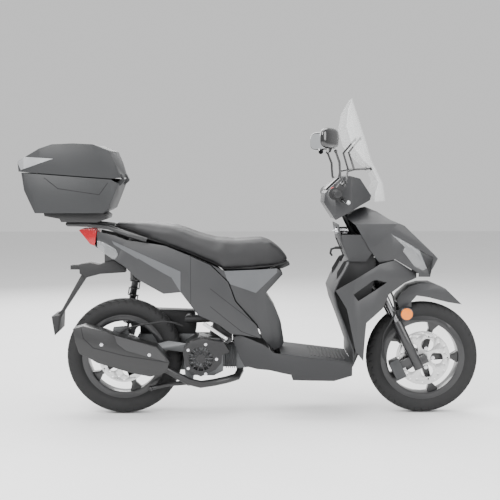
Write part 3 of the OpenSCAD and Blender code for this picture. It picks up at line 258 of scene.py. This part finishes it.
slot_of_node = {}
for body_nodes in frame["record"]["behaviour"]["bodies"].values():
    for node_name in body_nodes:
        held = frame["nodes"][node_name].material_slots
        slot_of_node[node_name] = [s.material.name.split(".")[0] for s in held if s.material]
for node_name, slots in slot_of_node.items():
    held = frame["nodes"][node_name].material_slots
    for place, slot_name in zip(held, slots):
        if slot_name in finishes:
            place.material = finishes[slot_name]


# ---- Pieces made from the frame's own shapes ----

def keep(mesh_object):
    """Puts an object into the scene."""
    bpy.context.scene.collection.objects.link(mesh_object)
    return mesh_object


def piece(name, points, faces, finish, smooth=35.0):
    """A plain mesh piece with one finish."""
    mesh = bpy.data.meshes.new(name)
    mesh.from_pydata([tuple(p) for p in points], [], [tuple(f) for f in faces])
    mesh.materials.append(finishes[finish])
    made = keep(bpy.data.objects.new(name, mesh))
    tidy(made, smooth)
    return made


def tidy(made, smooth=35.0, merge=0.00002):
    """Merges doubles, turns every face outwards and shades the soft edges smooth."""
    work = bmesh.new()
    work.from_mesh(made.data)
    bmesh.ops.remove_doubles(work, verts=work.verts, dist=merge)
    bmesh.ops.recalc_face_normals(work, faces=work.faces)
    work.to_mesh(made.data)
    work.free()
    for face in made.data.polygons:
        face.use_smooth = True
    made.data.set_sharp_from_angle(angle=math.radians(smooth))


def baked(made):
    """The object with its modifiers worked into a plain mesh."""
    graph = bpy.context.evaluated_depsgraph_get()
    graph.update()
    mesh = bpy.data.meshes.new_from_object(made.evaluated_get(graph))
    old = made.data
    made.modifiers.clear()
    made.data = mesh
    bpy.data.meshes.remove(old)
    return made


body_of_node = {node: body for body, nodes in
                frame["record"]["behaviour"]["bodies"].items() for node in nodes}


def soften(node, width=0.0012, segments=2, sharp=28.0, rides=True):
    """A copy of a frame part with its sharp edges rounded, which stands for that part."""
    source = frame["nodes"][node]
    made = keep(bpy.data.objects.new(node + "_soft", source.data.copy()))
    work = bmesh.new()
    work.from_mesh(made.data)
    bmesh.ops.remove_doubles(work, verts=work.verts, dist=0.00001)
    bmesh.ops.dissolve_limit(work, angle_limit=math.radians(1.0), verts=work.verts,
                             edges=work.edges, delimit={"MATERIAL"})
    work.to_mesh(made.data)
    work.free()
    bevel = made.modifiers.new("edges", "BEVEL")
    bevel.width = width
    bevel.segments = segments
    bevel.limit_method = "ANGLE"
    bevel.angle_limit = math.radians(sharp)
    baked(made)
    made.data.materials.clear()
    for slot_name in slot_of_node[node]:
        made.data.materials.append(finishes[slot_name])
    for face in made.data.polygons:
        face.use_smooth = True
    made.data.set_sharp_from_angle(angle=math.radians(40))
    if rides:
        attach(made, body_of_node[node])
    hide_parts(node)
    return made


# ---- Tyres ----

def smooth_section(corners, count):
    """A smooth curve through a few section points, as count points evenly apart."""
    corners = np.array(corners, float)
    steps = np.r_[0, np.cumsum(np.linalg.norm(np.diff(corners, axis=0), axis=1))]
    fine = np.linspace(0, steps[-1], count * 8)
    line = np.stack([np.interp(fine, steps, corners[:, k]) for k in (0, 1)], 1)
    soft = np.ones(17) / 17
    for k in (0, 1):
        padded = np.r_[np.full(8, line[0, k]), line[:, k], np.full(8, line[-1, k])]
        line[:, k] = np.convolve(padded, soft, "valid")
    return line[::8]


RIM_SEAT = 178.5  # Radius at which a tyre sits on its rim, in millimetres
BEAD_HALF = 31.0  # Half the width between the beads
GROOVE_DEPTH = 4.6
SIPE_DEPTH = 2.0
CHANNEL_DEPTH = 3.0
TREAD_BAND = 20  # How far the tread reaches in from the tyre's outside


def tyre(name, node, centre_x, outer, width, rim, pitch):
    """A treaded tyre: slanted grooves on both shoulders and a row of sipes at its middle."""
    around = 720
    height = outer - rim
    half = width / 2 - 0.5
    lip = BEAD_HALF
    section = smooth_section([
        (-lip + 6, rim + 1), (-lip, rim), (-lip - 2, rim + 5), (-half + 4, rim + 0.26 * height),
        (-half, rim + 0.48 * height), (-half + 2.5, rim + 0.68 * height),
        (-half + 9, rim + 0.86 * height), (-24, outer - 4), (-9, outer - 0.6),
        (9, outer - 0.6), (24, outer - 4), (half - 9, rim + 0.86 * height),
        (half - 2.5, rim + 0.68 * height), (half, rim + 0.48 * height),
        (half - 4, rim + 0.26 * height), (lip + 2, rim + 5), (lip, rim), (lip - 6, rim + 1)], 46)
    across, radius = section[:, 0], section[:, 1]
    turns = np.linspace(0, 2 * math.pi, around, endpoint=False)
    run = turns[:, None] * outer
    side = np.sign(across)[None, :]
    reach = np.abs(across)[None, :]
    count = round(2 * math.pi * outer / pitch)
    step = 2 * math.pi * outer / count
    slant = ((run + side * 0.25 * step + reach * 0.9) % step) / step
    shoulder = (slant < 0.22) & (reach > 11) & (reach < half - 1.2)
    sipe = (np.abs(((run + side * 9) % (step / 2)) / (step / 2) - 0.5) < 0.11)
    sipe = sipe & (reach > 2) & (reach < 13)
    channel = np.abs(reach - 12.5) < 1.6
    depth = (GROOVE_DEPTH * shoulder + SIPE_DEPTH * (sipe & ~shoulder)
             + CHANNEL_DEPTH * (channel & ~shoulder))
    depth = depth * (radius > outer - TREAD_BAND)[None, :]
    r = radius[None, :] - depth
    points = np.stack([centre_x + r * np.cos(turns)[:, None],
                       np.broadcast_to(across[None, :], r.shape),
                       axle_height(node) + r * np.sin(turns)[:, None]], -1) * MM
    rows, columns = r.shape
    index = np.arange(rows * columns).reshape(rows, columns)
    beyond = np.roll(index, -1, 0)
    following = np.roll(index, -1, 1)
    corner = np.roll(beyond, -1, 1)
    faces = np.stack([index, beyond, corner, following], -1).reshape(-1, 4)
    made = piece(name, points.reshape(-1, 3), faces.tolist(), "tyre", 32)
    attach(made, body_of_node[node])
    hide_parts(node)
    return made


def axle_height(node):
    """Height of a wheel's axle in millimetres."""
    low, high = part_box(node)
    return (low[2] + high[2]) / 2 / MM


def wheel_sizes(node):
    """Middle X, outer radius and width of a tyre in millimetres."""
    low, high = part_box(node)
    return (low[0] + high[0]) / 2 / MM, (high[2] - low[2]) / 2 / MM, (high[1] - low[1]) / MM


for wheel, pitch in (("front_tyre", 34.0), ("rear_tyre", 38.0)):
    middle_x, outer_r, tread_w = wheel_sizes(wheel)
    tyre(wheel + "_treaded", wheel, middle_x, outer_r, tread_w, RIM_SEAT, pitch)


# ---- Seat ----

CLOTH_FRAMES = 12


def inflated(name, node, voxel=0.006, pressure=4.0, most=0.007):
    """The padded seat: the frame's plain cushion, remeshed and blown up as cloth."""
    source = frame["nodes"][node].data
    made = keep(bpy.data.objects.new(name, source.copy()))
    work = bmesh.new()
    work.from_mesh(made.data)
    bmesh.ops.remove_doubles(work, verts=work.verts, dist=0.00001)
    work.to_mesh(made.data)
    work.free()
    remesh = made.modifiers.new("skin", "REMESH")
    remesh.mode = "VOXEL"
    remesh.voxel_size = voxel
    baked(made)
    before = np.array([v.co for v in made.data.vertices])
    soften_steps = made.modifiers.new("round", "SMOOTH")
    soften_steps.factor = 0.5
    soften_steps.iterations = 10
    baked(made)
    cloth = made.modifiers.new("foam", "CLOTH")
    cloth.settings.use_pressure = True
    cloth.settings.uniform_pressure_force = pressure
    cloth.settings.effector_weights.gravity = 0
    cloth.settings.quality = 5
    cloth.settings.tension_stiffness = 40
    cloth.settings.compression_stiffness = 40
    cloth.settings.shear_stiffness = 20
    scene = bpy.context.scene
    for step in range(1, CLOTH_FRAMES + 1):
        scene.frame_set(step)
    baked(made)
    scene.frame_set(1)
    after = np.array([v.co for v in made.data.vertices])
    if len(after) == len(before):
        push = after - before
        size = np.linalg.norm(push, axis=1, keepdims=True)
        push *= np.minimum(1.0, most / np.maximum(size, 1e-9))
        made.data.vertices.foreach_set("co", (before + push).ravel())
    taut = made.modifiers.new("taut", "SMOOTH")
    taut.factor = 0.5
    taut.iterations = 24
    baked(made)
    return made


cushion = inflated("seat_pad", "seat_cushion")
cushion.data.materials.clear()
cushion.data.materials.append(finishes["seat_cover"])
tidy(cushion, 60)
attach(cushion, "seat")
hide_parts("seat_cushion")


# ---- Repeated parts, grown by node trees ----

class Growth:
    """A geometry node tree made by one method, with named inputs."""

    def __init__(self, name):
        self.tree = bpy.data.node_groups.new(name, "GeometryNodeTree")
        self.tree.is_modifier = True
        self.tree.interface.new_socket("Geometry", in_out="OUTPUT",
                                       socket_type="NodeSocketGeometry")
        self.inlet = self.tree.nodes.new("NodeGroupInput")
        self.identifiers = {}

    def input(self, name, kind, start):
        socket = self.tree.interface.new_socket(name, in_out="INPUT",
                                                socket_type="NodeSocket" + kind)
        socket.default_value = start
        self.identifiers[name] = socket.identifier
        return Value(self, self.inlet.outputs[name])

    def node(self, kind, settings, values):
        return Finish.node(self, kind, settings, values)

    def end(self, shape, finish):
        """Realises the instances, sets their finish and ends the tree."""
        real = self.node("GeometryNodeRealizeInstances", {}, {0: shape})
        dressed = self.node("GeometryNodeSetMaterial", {}, {"Geometry": real})
        dressed.socket.node.inputs["Material"].default_value = finish
        self.node("NodeGroupOutput", {}, {0: dressed})

    def grow(self, name, node, slot, **values):
        """Runs the tree and keeps its result as a plain piece that rides with a node."""
        mesh = bpy.data.meshes.new(name)
        made = keep(bpy.data.objects.new(name, mesh))
        live = made.modifiers.new("growth", "NODES")
        live.node_group = self.tree
        for key, value in values.items():
            live[self.identifiers[key]] = value
        baked(made)
        tidy(made, 40)
        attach(made, body_of_node[node])
        return made


def ring_tree(name, finish):
    """Hexagon heads round a circle that faces along Y, or along a turned Y."""
    it = Growth(name)
    centre = it.input("Centre", "Vector", (0, 0, 0))
    turn = it.input("Turn", "Vector", (math.pi / 2, 0, 0))
    radius = it.input("Ring radius", "Float", 0.05)
    count = it.input("Count", "Int", 6)
    head = it.input("Head radius", "Float", 0.006)
    height = it.input("Head height", "Float", 0.005)
    circle = it.node("GeometryNodeMeshCircle", {"fill_type": "NONE"},
                     {"Vertices": count, "Radius": radius})
    collar = it.node("GeometryNodeMeshCylinder", {}, {
        "Vertices": 20, "Radius": head * 1.45, "Depth": height * 0.5})
    hexagon = it.node("GeometryNodeMeshCylinder", {}, {
        "Vertices": 6, "Radius": head, "Depth": height * 1.8})
    joined = it.node("GeometryNodeJoinGeometry", {}, {})
    for shape in (collar, hexagon):
        it.tree.links.new(shape.socket, joined.socket.node.inputs[0])
    spread = it.node("GeometryNodeInstanceOnPoints", {}, {"Points": circle, "Instance": joined})
    placed = it.node("GeometryNodeTransform", {},
                     {"Geometry": spread, "Translation": centre, "Rotation": turn})
    it.end(placed, finish)
    return it


def rib_tree(name, finish):
    """Rubber ribs: rings set at even steps along Y."""
    it = Growth(name)
    start = it.input("Start", "Vector", (0, 0, 0))
    step = it.input("Step", "Vector", (0, 0.005, 0))
    count = it.input("Count", "Int", 20)
    radius = it.input("Rib radius", "Float", 0.017)
    wire = it.input("Wire radius", "Float", 0.0012)
    line = it.node("GeometryNodeMeshLine", {"mode": "OFFSET"},
                   {"Count": count, "Start Location": start, "Offset": step})
    loop = it.node("GeometryNodeCurvePrimitiveCircle", {}, {"Resolution": 40, "Radius": radius})
    cord = it.node("GeometryNodeCurvePrimitiveCircle", {}, {"Resolution": 6, "Radius": wire})
    rib = it.node("GeometryNodeCurveToMesh", {}, {"Curve": loop, "Profile Curve": cord})
    turned = it.node("GeometryNodeTransform", {},
                     {"Geometry": rib, "Rotation": (math.pi / 2, 0, 0)})
    spread = it.node("GeometryNodeInstanceOnPoints", {}, {"Points": line, "Instance": turned})
    it.end(spread, finish)
    return it


def slat_tree(name, finish):
    """Slats set like rays round a hub that faces along Y."""
    it = Growth(name)
    centre = it.input("Centre", "Vector", (0, 0, 0))
    radius = it.input("Ray radius", "Float", 0.04)
    count = it.input("Count", "Int", 24)
    size = it.input("Slat size", "Vector", (0.03, 0.003, 0.004))
    circle = it.node("GeometryNodeMeshCircle", {"fill_type": "NONE"},
                     {"Vertices": count, "Radius": radius})
    slat = it.node("GeometryNodeMeshCube", {}, {"Size": size})
    place = it.node("GeometryNodeInputPosition", {}, {})
    rays = it.node("FunctionNodeAlignRotationToVector", {"axis": "X"}, {"Vector": place})
    spread = it.node("GeometryNodeInstanceOnPoints", {},
                     {"Points": circle, "Instance": slat, "Rotation": rays})
    placed = it.node("GeometryNodeTransform", {}, {
        "Geometry": spread, "Translation": centre, "Rotation": (math.pi / 2, 0, 0)})
    it.end(placed, finish)
    return it


steel_heads = ring_tree("steel bolt heads", finishes["bright_steel"])
grip_ribs = rib_tree("grip ribs", finishes["grip_rubber"])


def mid(node):
    """The middle of a node's box."""
    low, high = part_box(node)
    return [(a + b) / 2 for a, b in zip(low, high)]


def bolts(name, node, centre, radius, count, head=0.006, height=0.005,
          turn=(math.pi / 2, 0, 0)):
    steel_heads.grow(name, node, "bright_steel", **{
        "Centre": centre, "Turn": turn, "Ring radius": radius, "Count": count,
        "Head radius": head, "Head height": height})


DISC_BOLT_RING = 0.044
for disc in ("front_disc", "rear_disc"):
    disc_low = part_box(disc)[0]
    hub = mid(disc)
    bolts(disc + "_bolts", disc, (hub[0], disc_low[1] - 0.001, hub[2]), DISC_BOLT_RING, 5)

RIB_STEP = 0.0048
RIB_MARGIN = 0.012  # Plain rubber at each end of a grip
for grip in ("left_grip", "throttle_grip"):
    low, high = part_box(grip)
    hub = mid(grip)
    ribs = int((high[1] - low[1] - 2 * RIB_MARGIN) / RIB_STEP)
    grip_ribs.grow(grip + "_ribs", grip, "grip_rubber", **{
        "Start": (hub[0], low[1] + RIB_MARGIN, hub[2]), "Step": (0, RIB_STEP, 0), "Count": ribs,
        "Rib radius": 0.0172, "Wire radius": 0.0012})

fan_slats = slat_tree("fan grille rays", finishes["fan_plastic"])
fan_x, fan_z = AXLE_BACK + 0.344, 0.267
face_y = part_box("fan_cover")[0][1] - 0.0006
fan_slats.grow("fan_grille_rays", "fan_cover", "fan_plastic", **{
    "Centre": (fan_x, face_y + 0.001, fan_z), "Ray radius": 0.040, "Count": 24,
    "Slat size": (0.032, 0.0022, 0.0035)})
bolts("fan_cover_bolts", "fan_cover", (fan_x, face_y - 0.001, fan_z), 0.068, 5, 0.0045, 0.004)


# ---- Trim, strips and painted seam shadows laid on the panels ----

finishes["grey_panel"] = moulded("light grey panel", (0.075, 0.078, 0.083), 0.4, 1400.0, 0.00004,
                                 coat=0.1)
finishes["silver_trim"] = painted("silver trim paint", (0.42, 0.43, 0.44), 0.32, 0.5, 0.7)
# Painted shade: the seam shadow finish is near-black, laid as thin strips along seams and creases
# where shade falls
finishes["seam_shadow"] = moulded("painted seam shadow", (0.006, 0.006, 0.007), 0.8)
finishes["amber"] = lens("amber reflector", (0.8, 0.2, 0.008), 0.12, 1.0, 0.0, 1500.0)
finishes["heat_shield"] = painted("heat shield paint", (0.014, 0.014, 0.015), 0.36, 0.3)


def from_axle(x, z):
    """A point given from the foot of the rear axle, in millimetres, as metres here."""
    return AXLE_BACK + x * MM, z * MM


def inside(mesh, outline):
    """Cuts a bmesh down to a convex outline in X and Z."""
    corners = [Vector((x, 0, z)) for x, z in (from_axle(*p) for p in outline)]
    centre = sum(corners, Vector()) / len(corners)
    for a, b in zip(corners, corners[1:] + corners[:1]):
        along = (b - a).normalized()
        out = Vector((along.z, 0, -along.x))
        if out.dot(centre - a) > 0:
            out = -out
        everything = mesh.verts[:] + mesh.edges[:] + mesh.faces[:]
        bmesh.ops.bisect_plane(mesh, geom=everything, plane_co=a, plane_no=out,
                               clear_outer=True)


def overlay(name, node, outlines, finish, lift=0.0006, thick=0.0006, sides=(-1, 1),
            facing=0.25):
    """A thin skin on a panel's outer side, inside convex outlines in X and Z."""
    whole = bmesh.new()
    for outline in outlines:
        for side in sides:
            part = bmesh.new()
            part.from_mesh(frame["nodes"][node].data)
            bmesh.ops.remove_doubles(part, verts=part.verts, dist=0.00001)
            inside(part, outline)
            part.normal_update()
            hidden = [f for f in part.faces if f.normal.y * side < facing]
            bmesh.ops.delete(part, geom=hidden, context="FACES")
            loose = [v for v in part.verts if not v.link_faces]
            bmesh.ops.delete(part, geom=loose, context="VERTS")
            part.normal_update()
            for v in part.verts:
                v.co += v.normal * lift
            flat = bpy.data.meshes.new("part")
            part.to_mesh(flat)
            part.free()
            whole.from_mesh(flat)
            bpy.data.meshes.remove(flat)
    if not whole.faces:
        whole.free()
        return None
    mesh = bpy.data.meshes.new(name)
    whole.to_mesh(mesh)
    whole.free()
    mesh.materials.append(finishes[finish])
    made = keep(bpy.data.objects.new(name, mesh))
    wall = made.modifiers.new("wall", "SOLIDIFY")
    wall.thickness = thick + lift
    wall.offset = -1
    baked(made)
    tidy(made, 40)
    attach(made, body_of_node[node])
    return made


def line_outlines(points, width):
    """Narrow convex outlines along a line of points."""
    strips = []
    for (ax, az), (bx, bz) in zip(points, points[1:]):
        run = math.hypot(bx - ax, bz - az)
        ux, uz = (bx - ax) / run * width / 2, (bz - az) / run * width / 2
        strips.append([(ax - ux - uz, az - uz + ux), (bx + ux - uz, bz + uz + ux),
                       (bx + ux + uz, bz + uz - ux), (ax - ux + uz, az - uz - ux)])
    return strips


TAIL_STRIP = [
    [(-45, 778), (70, 728), (70, 699), (-35, 761)],
    [(70, 728), (256, 646), (218, 617), (168, 646), (70, 699)],
    [(256, 646), (256, 557), (218, 617)]]
UNDER_SEAT = [[(444, 652), (676, 665), (676, 637), (583, 551), (464, 594)]]
CASE_TRIM = [[(-400, 1141), (-275, 1133), (-418, 1085), (-438, 1121)]]
SHIELD = [
    [(-27, 379), (77, 346), (22, 311), (-15, 341)], [(77, 346), (152, 324), (113, 284), (22, 311)],
    [(152, 324), (187, 284), (195, 262), (113, 284)]]
for panel in ("right_side_panel", "left_side_panel"):
    side = (-1,) if panel.startswith("right") else (1,)
    overlay(panel + "_strip", panel, TAIL_STRIP, "grey_panel", 0.0012, 0.001,
            side)
    # Painted shade: thin dark strips along the side panel's seams
    overlay(panel + "_seams", panel,
            line_outlines([(385, 572), (582, 418)], 2.4)
            + line_outlines([(385, 494), (520, 385), (610, 350)], 2.4)
            + line_outlines([(300, 722), (300, 500)], 2.0),
            "seam_shadow", 0.0003, 0.0004, side)
overlay("seat_post_light_panel", "seat_post_cover", UNDER_SEAT, "grey_panel",
        0.0012, 0.001)
overlay("case_lid_trim", "case_lid", CASE_TRIM, "silver_trim", 0.002, 0.002)
# Painted shade: a thin dark strip along the crease of the top case base
overlay("case_base_crease_painted_shadow", "case_base",
        line_outlines([(-314, 1052), (-257, 1007), (-84, 981), (-49, 1030)], 3.0),
        "seam_shadow", 0.0004, 0.0004)
overlay("exhaust_heat_shield", "exhaust", SHIELD, "heat_shield", 0.004, 0.001,
        (-1,))
# Painted shade: a thin dark strip along the muffler's seam
overlay("exhaust_seam_painted_shadow", "exhaust",
        line_outlines([(-169, 409), (-160, 364), (-118, 322), (15, 288), (204, 258)], 3.0),
        "seam_shadow", 0.0008, 0.0004, (-1,))


# ---- Hoses and small parts ----

def curved(points, count):
    """A Catmull-Rom line through points."""
    points = [Vector(p) for p in points]
    ends = [points[0] * 2 - points[1]] + points + [points[-1] * 2 - points[-2]]
    line = []
    for i in range(1, len(ends) - 2):
        a, b, c, d = ends[i - 1:i + 3]
        for k in range(count):
            t = k / count
            line.append(0.5 * (2 * b + (c - a) * t + (2 * a - 5 * b + 4 * c - d) * t * t
                               + (3 * b - a - 3 * c + d) * t ** 3))
    return line + [points[-1]]


def hose(name, points, radius, finish, round_steps=12):
    """A closed round tube along a smooth line."""
    line = curved(points, 10)
    rows = []
    up = Vector((0.13, 1, 0.21)).normalized()
    for i, p in enumerate(line):
        ahead = (line[min(i + 1, len(line) - 1)] - line[max(i - 1, 0)]).normalized()
        u = ahead.cross(up).normalized()
        v = ahead.cross(u)
        rows.append([p + (u * math.cos(a) + v * math.sin(a)) * radius
                     for a in (2 * math.pi * k / round_steps for k in range(round_steps))])
    ring = [[i * round_steps + k for k in range(round_steps)] for i in range(len(rows))]
    faces = [(a[k], a[(k + 1) % round_steps], b[(k + 1) % round_steps], b[k])
             for a, b in zip(ring, ring[1:]) for k in range(round_steps)]
    faces += [tuple(reversed(ring[0])), tuple(ring[-1])]
    made = piece(name, [q for row in rows for q in row], faces, finish, 50)
    return made


def at(x, y, z):
    """A point from the foot of the rear axle, in millimetres, as metres here."""
    px, pz = from_axle(x, z)
    return px, y * MM, pz


front_hose = hose("front_brake_hose", [at(1161, -74, 240), at(1143, -84, 280),
                                       at(1147, -92, 364), at(1192, -96, 450),
                                       at(1190, -84, 520), at(1172, -60, 566)],
                  0.0042, "grip_rubber")
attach(front_hose, "fork_lower")
rear_hose = hose("rear_brake_hose", [at(-12, -84, 372), at(30, -92, 396), at(120, -90, 414),
                                     at(200, -84, 420), at(262, -70, 400)],
                 0.0042, "grip_rubber")
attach(rear_hose, "engine")


def button(name, centre, radius, depth, finish, body, crown=0.35, steps=40):
    """A crowned disc, or a hexagon head, that faces along Y."""
    x, y, z = centre
    side = 1 if y > 0 else -1
    rims = [(radius, 0), (radius, depth * (1 - crown)), (radius * 0.9, depth * 0.93),
            (radius * 0.5, depth * 0.99)]
    points = [(x + r * math.cos(2 * math.pi * k / steps), y + side * d,
               z + r * math.sin(2 * math.pi * k / steps)) for r, d in rims
              for k in range(steps)]
    faces = [(i * steps + k, i * steps + (k + 1) % steps, (i + 1) * steps + (k + 1) % steps,
              (i + 1) * steps + k) for i in range(len(rims) - 1) for k in range(steps)]
    faces += [tuple(range(steps)), tuple(range((len(rims) - 1) * steps, len(rims) * steps))]
    made = piece(name, points, faces, finish, 30)
    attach(made, body)
    return made


REFLECTOR_X, REFLECTOR_Z = 1247, 454
for side_name, y in (("right", -95), ("left", 95)):
    button(side_name + "_reflector_bezel", at(REFLECTOR_X, y, REFLECTOR_Z), 0.029, 0.005,
           "slider_paint", "fork_lower")
    button(side_name + "_reflector",
           at(REFLECTOR_X, y + math.copysign(3, y), REFLECTOR_Z), 0.0255, 0.006,
           "amber", "fork_lower")


# ---- Liners between the leg shield and the apron, and the ribs of the foot board ----

def plate(name, outline, y, thick, finish, body):
    """A flat plate seen from the side, with its outline in X and Z."""
    corners = [from_axle(*p) for p in outline]
    count = len(corners)
    points = [(x, y + d, z) for d in (-thick / 2, thick / 2) for x, z in corners]
    faces = [tuple(range(count)), tuple(range(2 * count - 1, count - 1, -1))]
    faces += [(k, (k + 1) % count, count + (k + 1) % count, count + k) for k in range(count)]
    made = piece(name, points, faces, finish, 30)
    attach(made, body)
    return made


LINER = [(936, 640), (966, 690), (1085, 728), (1105, 690), (1098, 600), (1060, 470), (1030, 330),
         (1010, 300), (970, 411), (931, 510)]
LINER_Y = 0.122
for side_name, y in (("right", -LINER_Y), ("left", LINER_Y)):
    plate(side_name + "_knee_liner", LINER, y, 0.002, "inner_plastic", "frame")


def strip_tree(name, finish):
    """Straight rubber strips set at even steps along a line."""
    it = Growth(name)
    start = it.input("Start", "Vector", (0, 0, 0))
    step = it.input("Step", "Vector", (0.016, 0, -0.002))
    count = it.input("Count", "Int", 10)
    size = it.input("Strip size", "Vector", (0.008, 0.25, 0.003))
    line = it.node("GeometryNodeMeshLine", {"mode": "OFFSET"},
                   {"Count": count, "Start Location": start, "Offset": step})
    strip = it.node("GeometryNodeMeshCube", {}, {"Size": size})
    spread = it.node("GeometryNodeInstanceOnPoints", {}, {"Points": line, "Instance": strip})
    it.end(spread, finish)
    return it


floor_strips = strip_tree("foot board strips", finishes["grip_rubber"])
floor_strips.grow("foot_board_strips", "foot_board", "grip_rubber", **{
    "Start": (0.255, 0.0, 0.2764), "Step": (0.016, 0, -0.00192), "Count": 10,
    "Strip size": (0.008, 0.25, 0.003)})

for wheel in ("front", "rear"):
    rim_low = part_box(wheel + "_rim")[0]
    hub = mid(wheel + "_rim")
    button(wheel + "_axle_nut", (hub[0], rim_low[1] + 0.001, hub[2]), 0.012, 0.009,
           "bright_steel", wheel + "_wheel", steps=6)
muffler_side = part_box("exhaust")[0][1]
for name, x, z in (("rear", -82, 337), ("front", 123, 292)):
    button("muffler_bolt_" + name, at(x, muffler_side / MM + 0.5, z), 0.009, 0.006,
           "bright_steel", "engine", steps=6)


# ---- Mirrors ----

def mirror_parts(node, side):
    """A rounded mirror shell in its frame part's box, with its glass set towards the rider."""
    low, high = (Vector(c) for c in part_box(node))
    centre = (low + high) / 2 + Vector((0, 0, 0.006))
    turn = Matrix.Rotation(math.radians(side * 35), 3, "Z")
    half = Vector((0.021, 0.068, 0.044))
    rows, columns = 24, 48
    shell = []

    def bulge(value, power):
        return math.copysign(abs(value) ** power, value)

    for i in range(rows + 1):
        up = math.pi * (i / rows - 0.5)
        for k in range(columns):
            out = 2 * math.pi * k / columns
            flat = bulge(math.cos(up), 0.55)
            spot = Vector((half.x * bulge(math.cos(up), 0.9) * bulge(math.cos(out), 0.9),
                           half.y * flat * bulge(math.sin(out), 0.75),
                           half.z * bulge(math.sin(up), 0.62)))
            spot.x = max(spot.x, -0.012)
            shell.append(centre + turn @ spot)
    faces = [(i * columns + k, i * columns + (k + 1) % columns,
              (i + 1) * columns + (k + 1) % columns, (i + 1) * columns + k)
             for i in range(rows) for k in range(columns)]
    made = piece(node + "_shell", shell, faces, "mirror_shell", 50)
    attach(made, body_of_node[node])
    rim = [centre + turn @ Vector((x, half.y * 0.84 * bulge(math.cos(a), 0.6),
                                   half.z * 0.82 * bulge(math.sin(a), 0.6)))
           for x in (-0.0135, -0.0115)
           for a in (2 * math.pi * k / columns for k in range(columns))]
    sides = [(k, (k + 1) % columns, columns + (k + 1) % columns, columns + k)
             for k in range(columns)]
    caps = [tuple(range(columns)), tuple(range(2 * columns - 1, columns - 1, -1))]
    glass = piece(node + "_glass", rim, sides + caps, "mirror_glass", 30)
    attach(glass, body_of_node[node])
    neck_top = centre + Vector((0, 0, -0.036))
    neck_low = Vector((centre.x, centre.y - side * 0.03, low.z + 0.006))
    neck = hose(node + "_neck", [neck_low, (neck_low + neck_top) / 2, neck_top], 0.011,
                "mirror_shell", 20)
    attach(neck, body_of_node[node])
    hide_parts(node)


finishes["mirror_glass"] = bare_metal("mirror glass", (0.75, 0.77, 0.79), 0.06, depth=0.000004)
mirror_parts("right_mirror", -1)
mirror_parts("left_mirror", 1)


# ---- Softened frame parts ----

LEFT_AS_MADE = {"seat_cushion", "shock_spring", "front_tyre", "rear_tyre", "windscreen",
                "right_mirror", "left_mirror"}
WIDE_EDGES = {"case_lid": 0.007, "case_base": 0.005, "front_cowl": 0.003, "front_apron": 0.003,
              "right_side_panel": 0.0014, "left_side_panel": 0.0014, "leg_shield": 0.0014}
for node_name in body_of_node:
    if node_name not in LEFT_AS_MADE:
        soften(node_name, WIDE_EDGES.get(node_name, 0.0010))

# The rear lamp is one frame part with two lenses: its front pane is clear
lamp = bpy.data.objects["tail_light_soft"].data
lamp.materials.append(finishes["clear_lens"])
pane_start, pane_top = from_axle(-118.2, 781)
for face in lamp.polygons:
    if face.center.x > pane_start and face.center.z < pane_top:
        face.material_index = len(lamp.materials) - 1

# The softened spring rides with no body; its place is baked into its mesh
spring = soften("shock_spring", 0.0006, 1, rides=False)


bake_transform(spring)


# ---- Studio ----

def studio():
    """A pale floor and soft lights."""
    floor = bpy.data.meshes.new("floor")
    reach = 14.0
    floor.from_pydata([(-reach, -reach, 0), (reach, -reach, 0), (reach, reach, 0),
                       (-reach, reach, 0)], [], [(0, 1, 2, 3)])
    ground = bpy.data.objects.new("floor", floor)
    ground.location.z = -0.0005
    bpy.context.scene.collection.objects.link(ground)
    it = Finish("studio floor")
    cloud = it.noise(3.0, 3)
    floor.materials.append(it.shade(
        base_color=it.blend(cloud, (0.80, 0.80, 0.80, 1), (0.84, 0.84, 0.84, 1)),
        roughness=it.span(cloud, 0.7, 0.8)))
    world = bpy.data.worlds.new("studio")
    world.use_nodes = True
    sky = world.node_tree.nodes["Background"]
    sky.inputs["Color"].default_value = (1, 1, 1, 1)
    sky.inputs["Strength"].default_value = 0.8
    bpy.context.scene.world = world
    for name, place, size, power in (
            ("key", (-2.2, -3.4, 3.6), 3.2, 380.0), ("fill", (3.4, -3.0, 2.4), 3.0, 170.0),
            ("top", (0.2, 0.6, 4.2), 3.6, 260.0), ("back", (-1.5, 3.8, 2.8), 3.0, 170.0)):
        data = bpy.data.lights.new(name, "AREA")
        data.size = size
        data.energy = power
        lamp = bpy.data.objects.new(name, data)
        lamp.location = place
        lamp.rotation_euler = (Vector((0, 0, 0.6)) - Vector(place)).to_track_quat(
            "-Z", "Y").to_euler()
        bpy.context.scene.collection.objects.link(lamp)


studio()
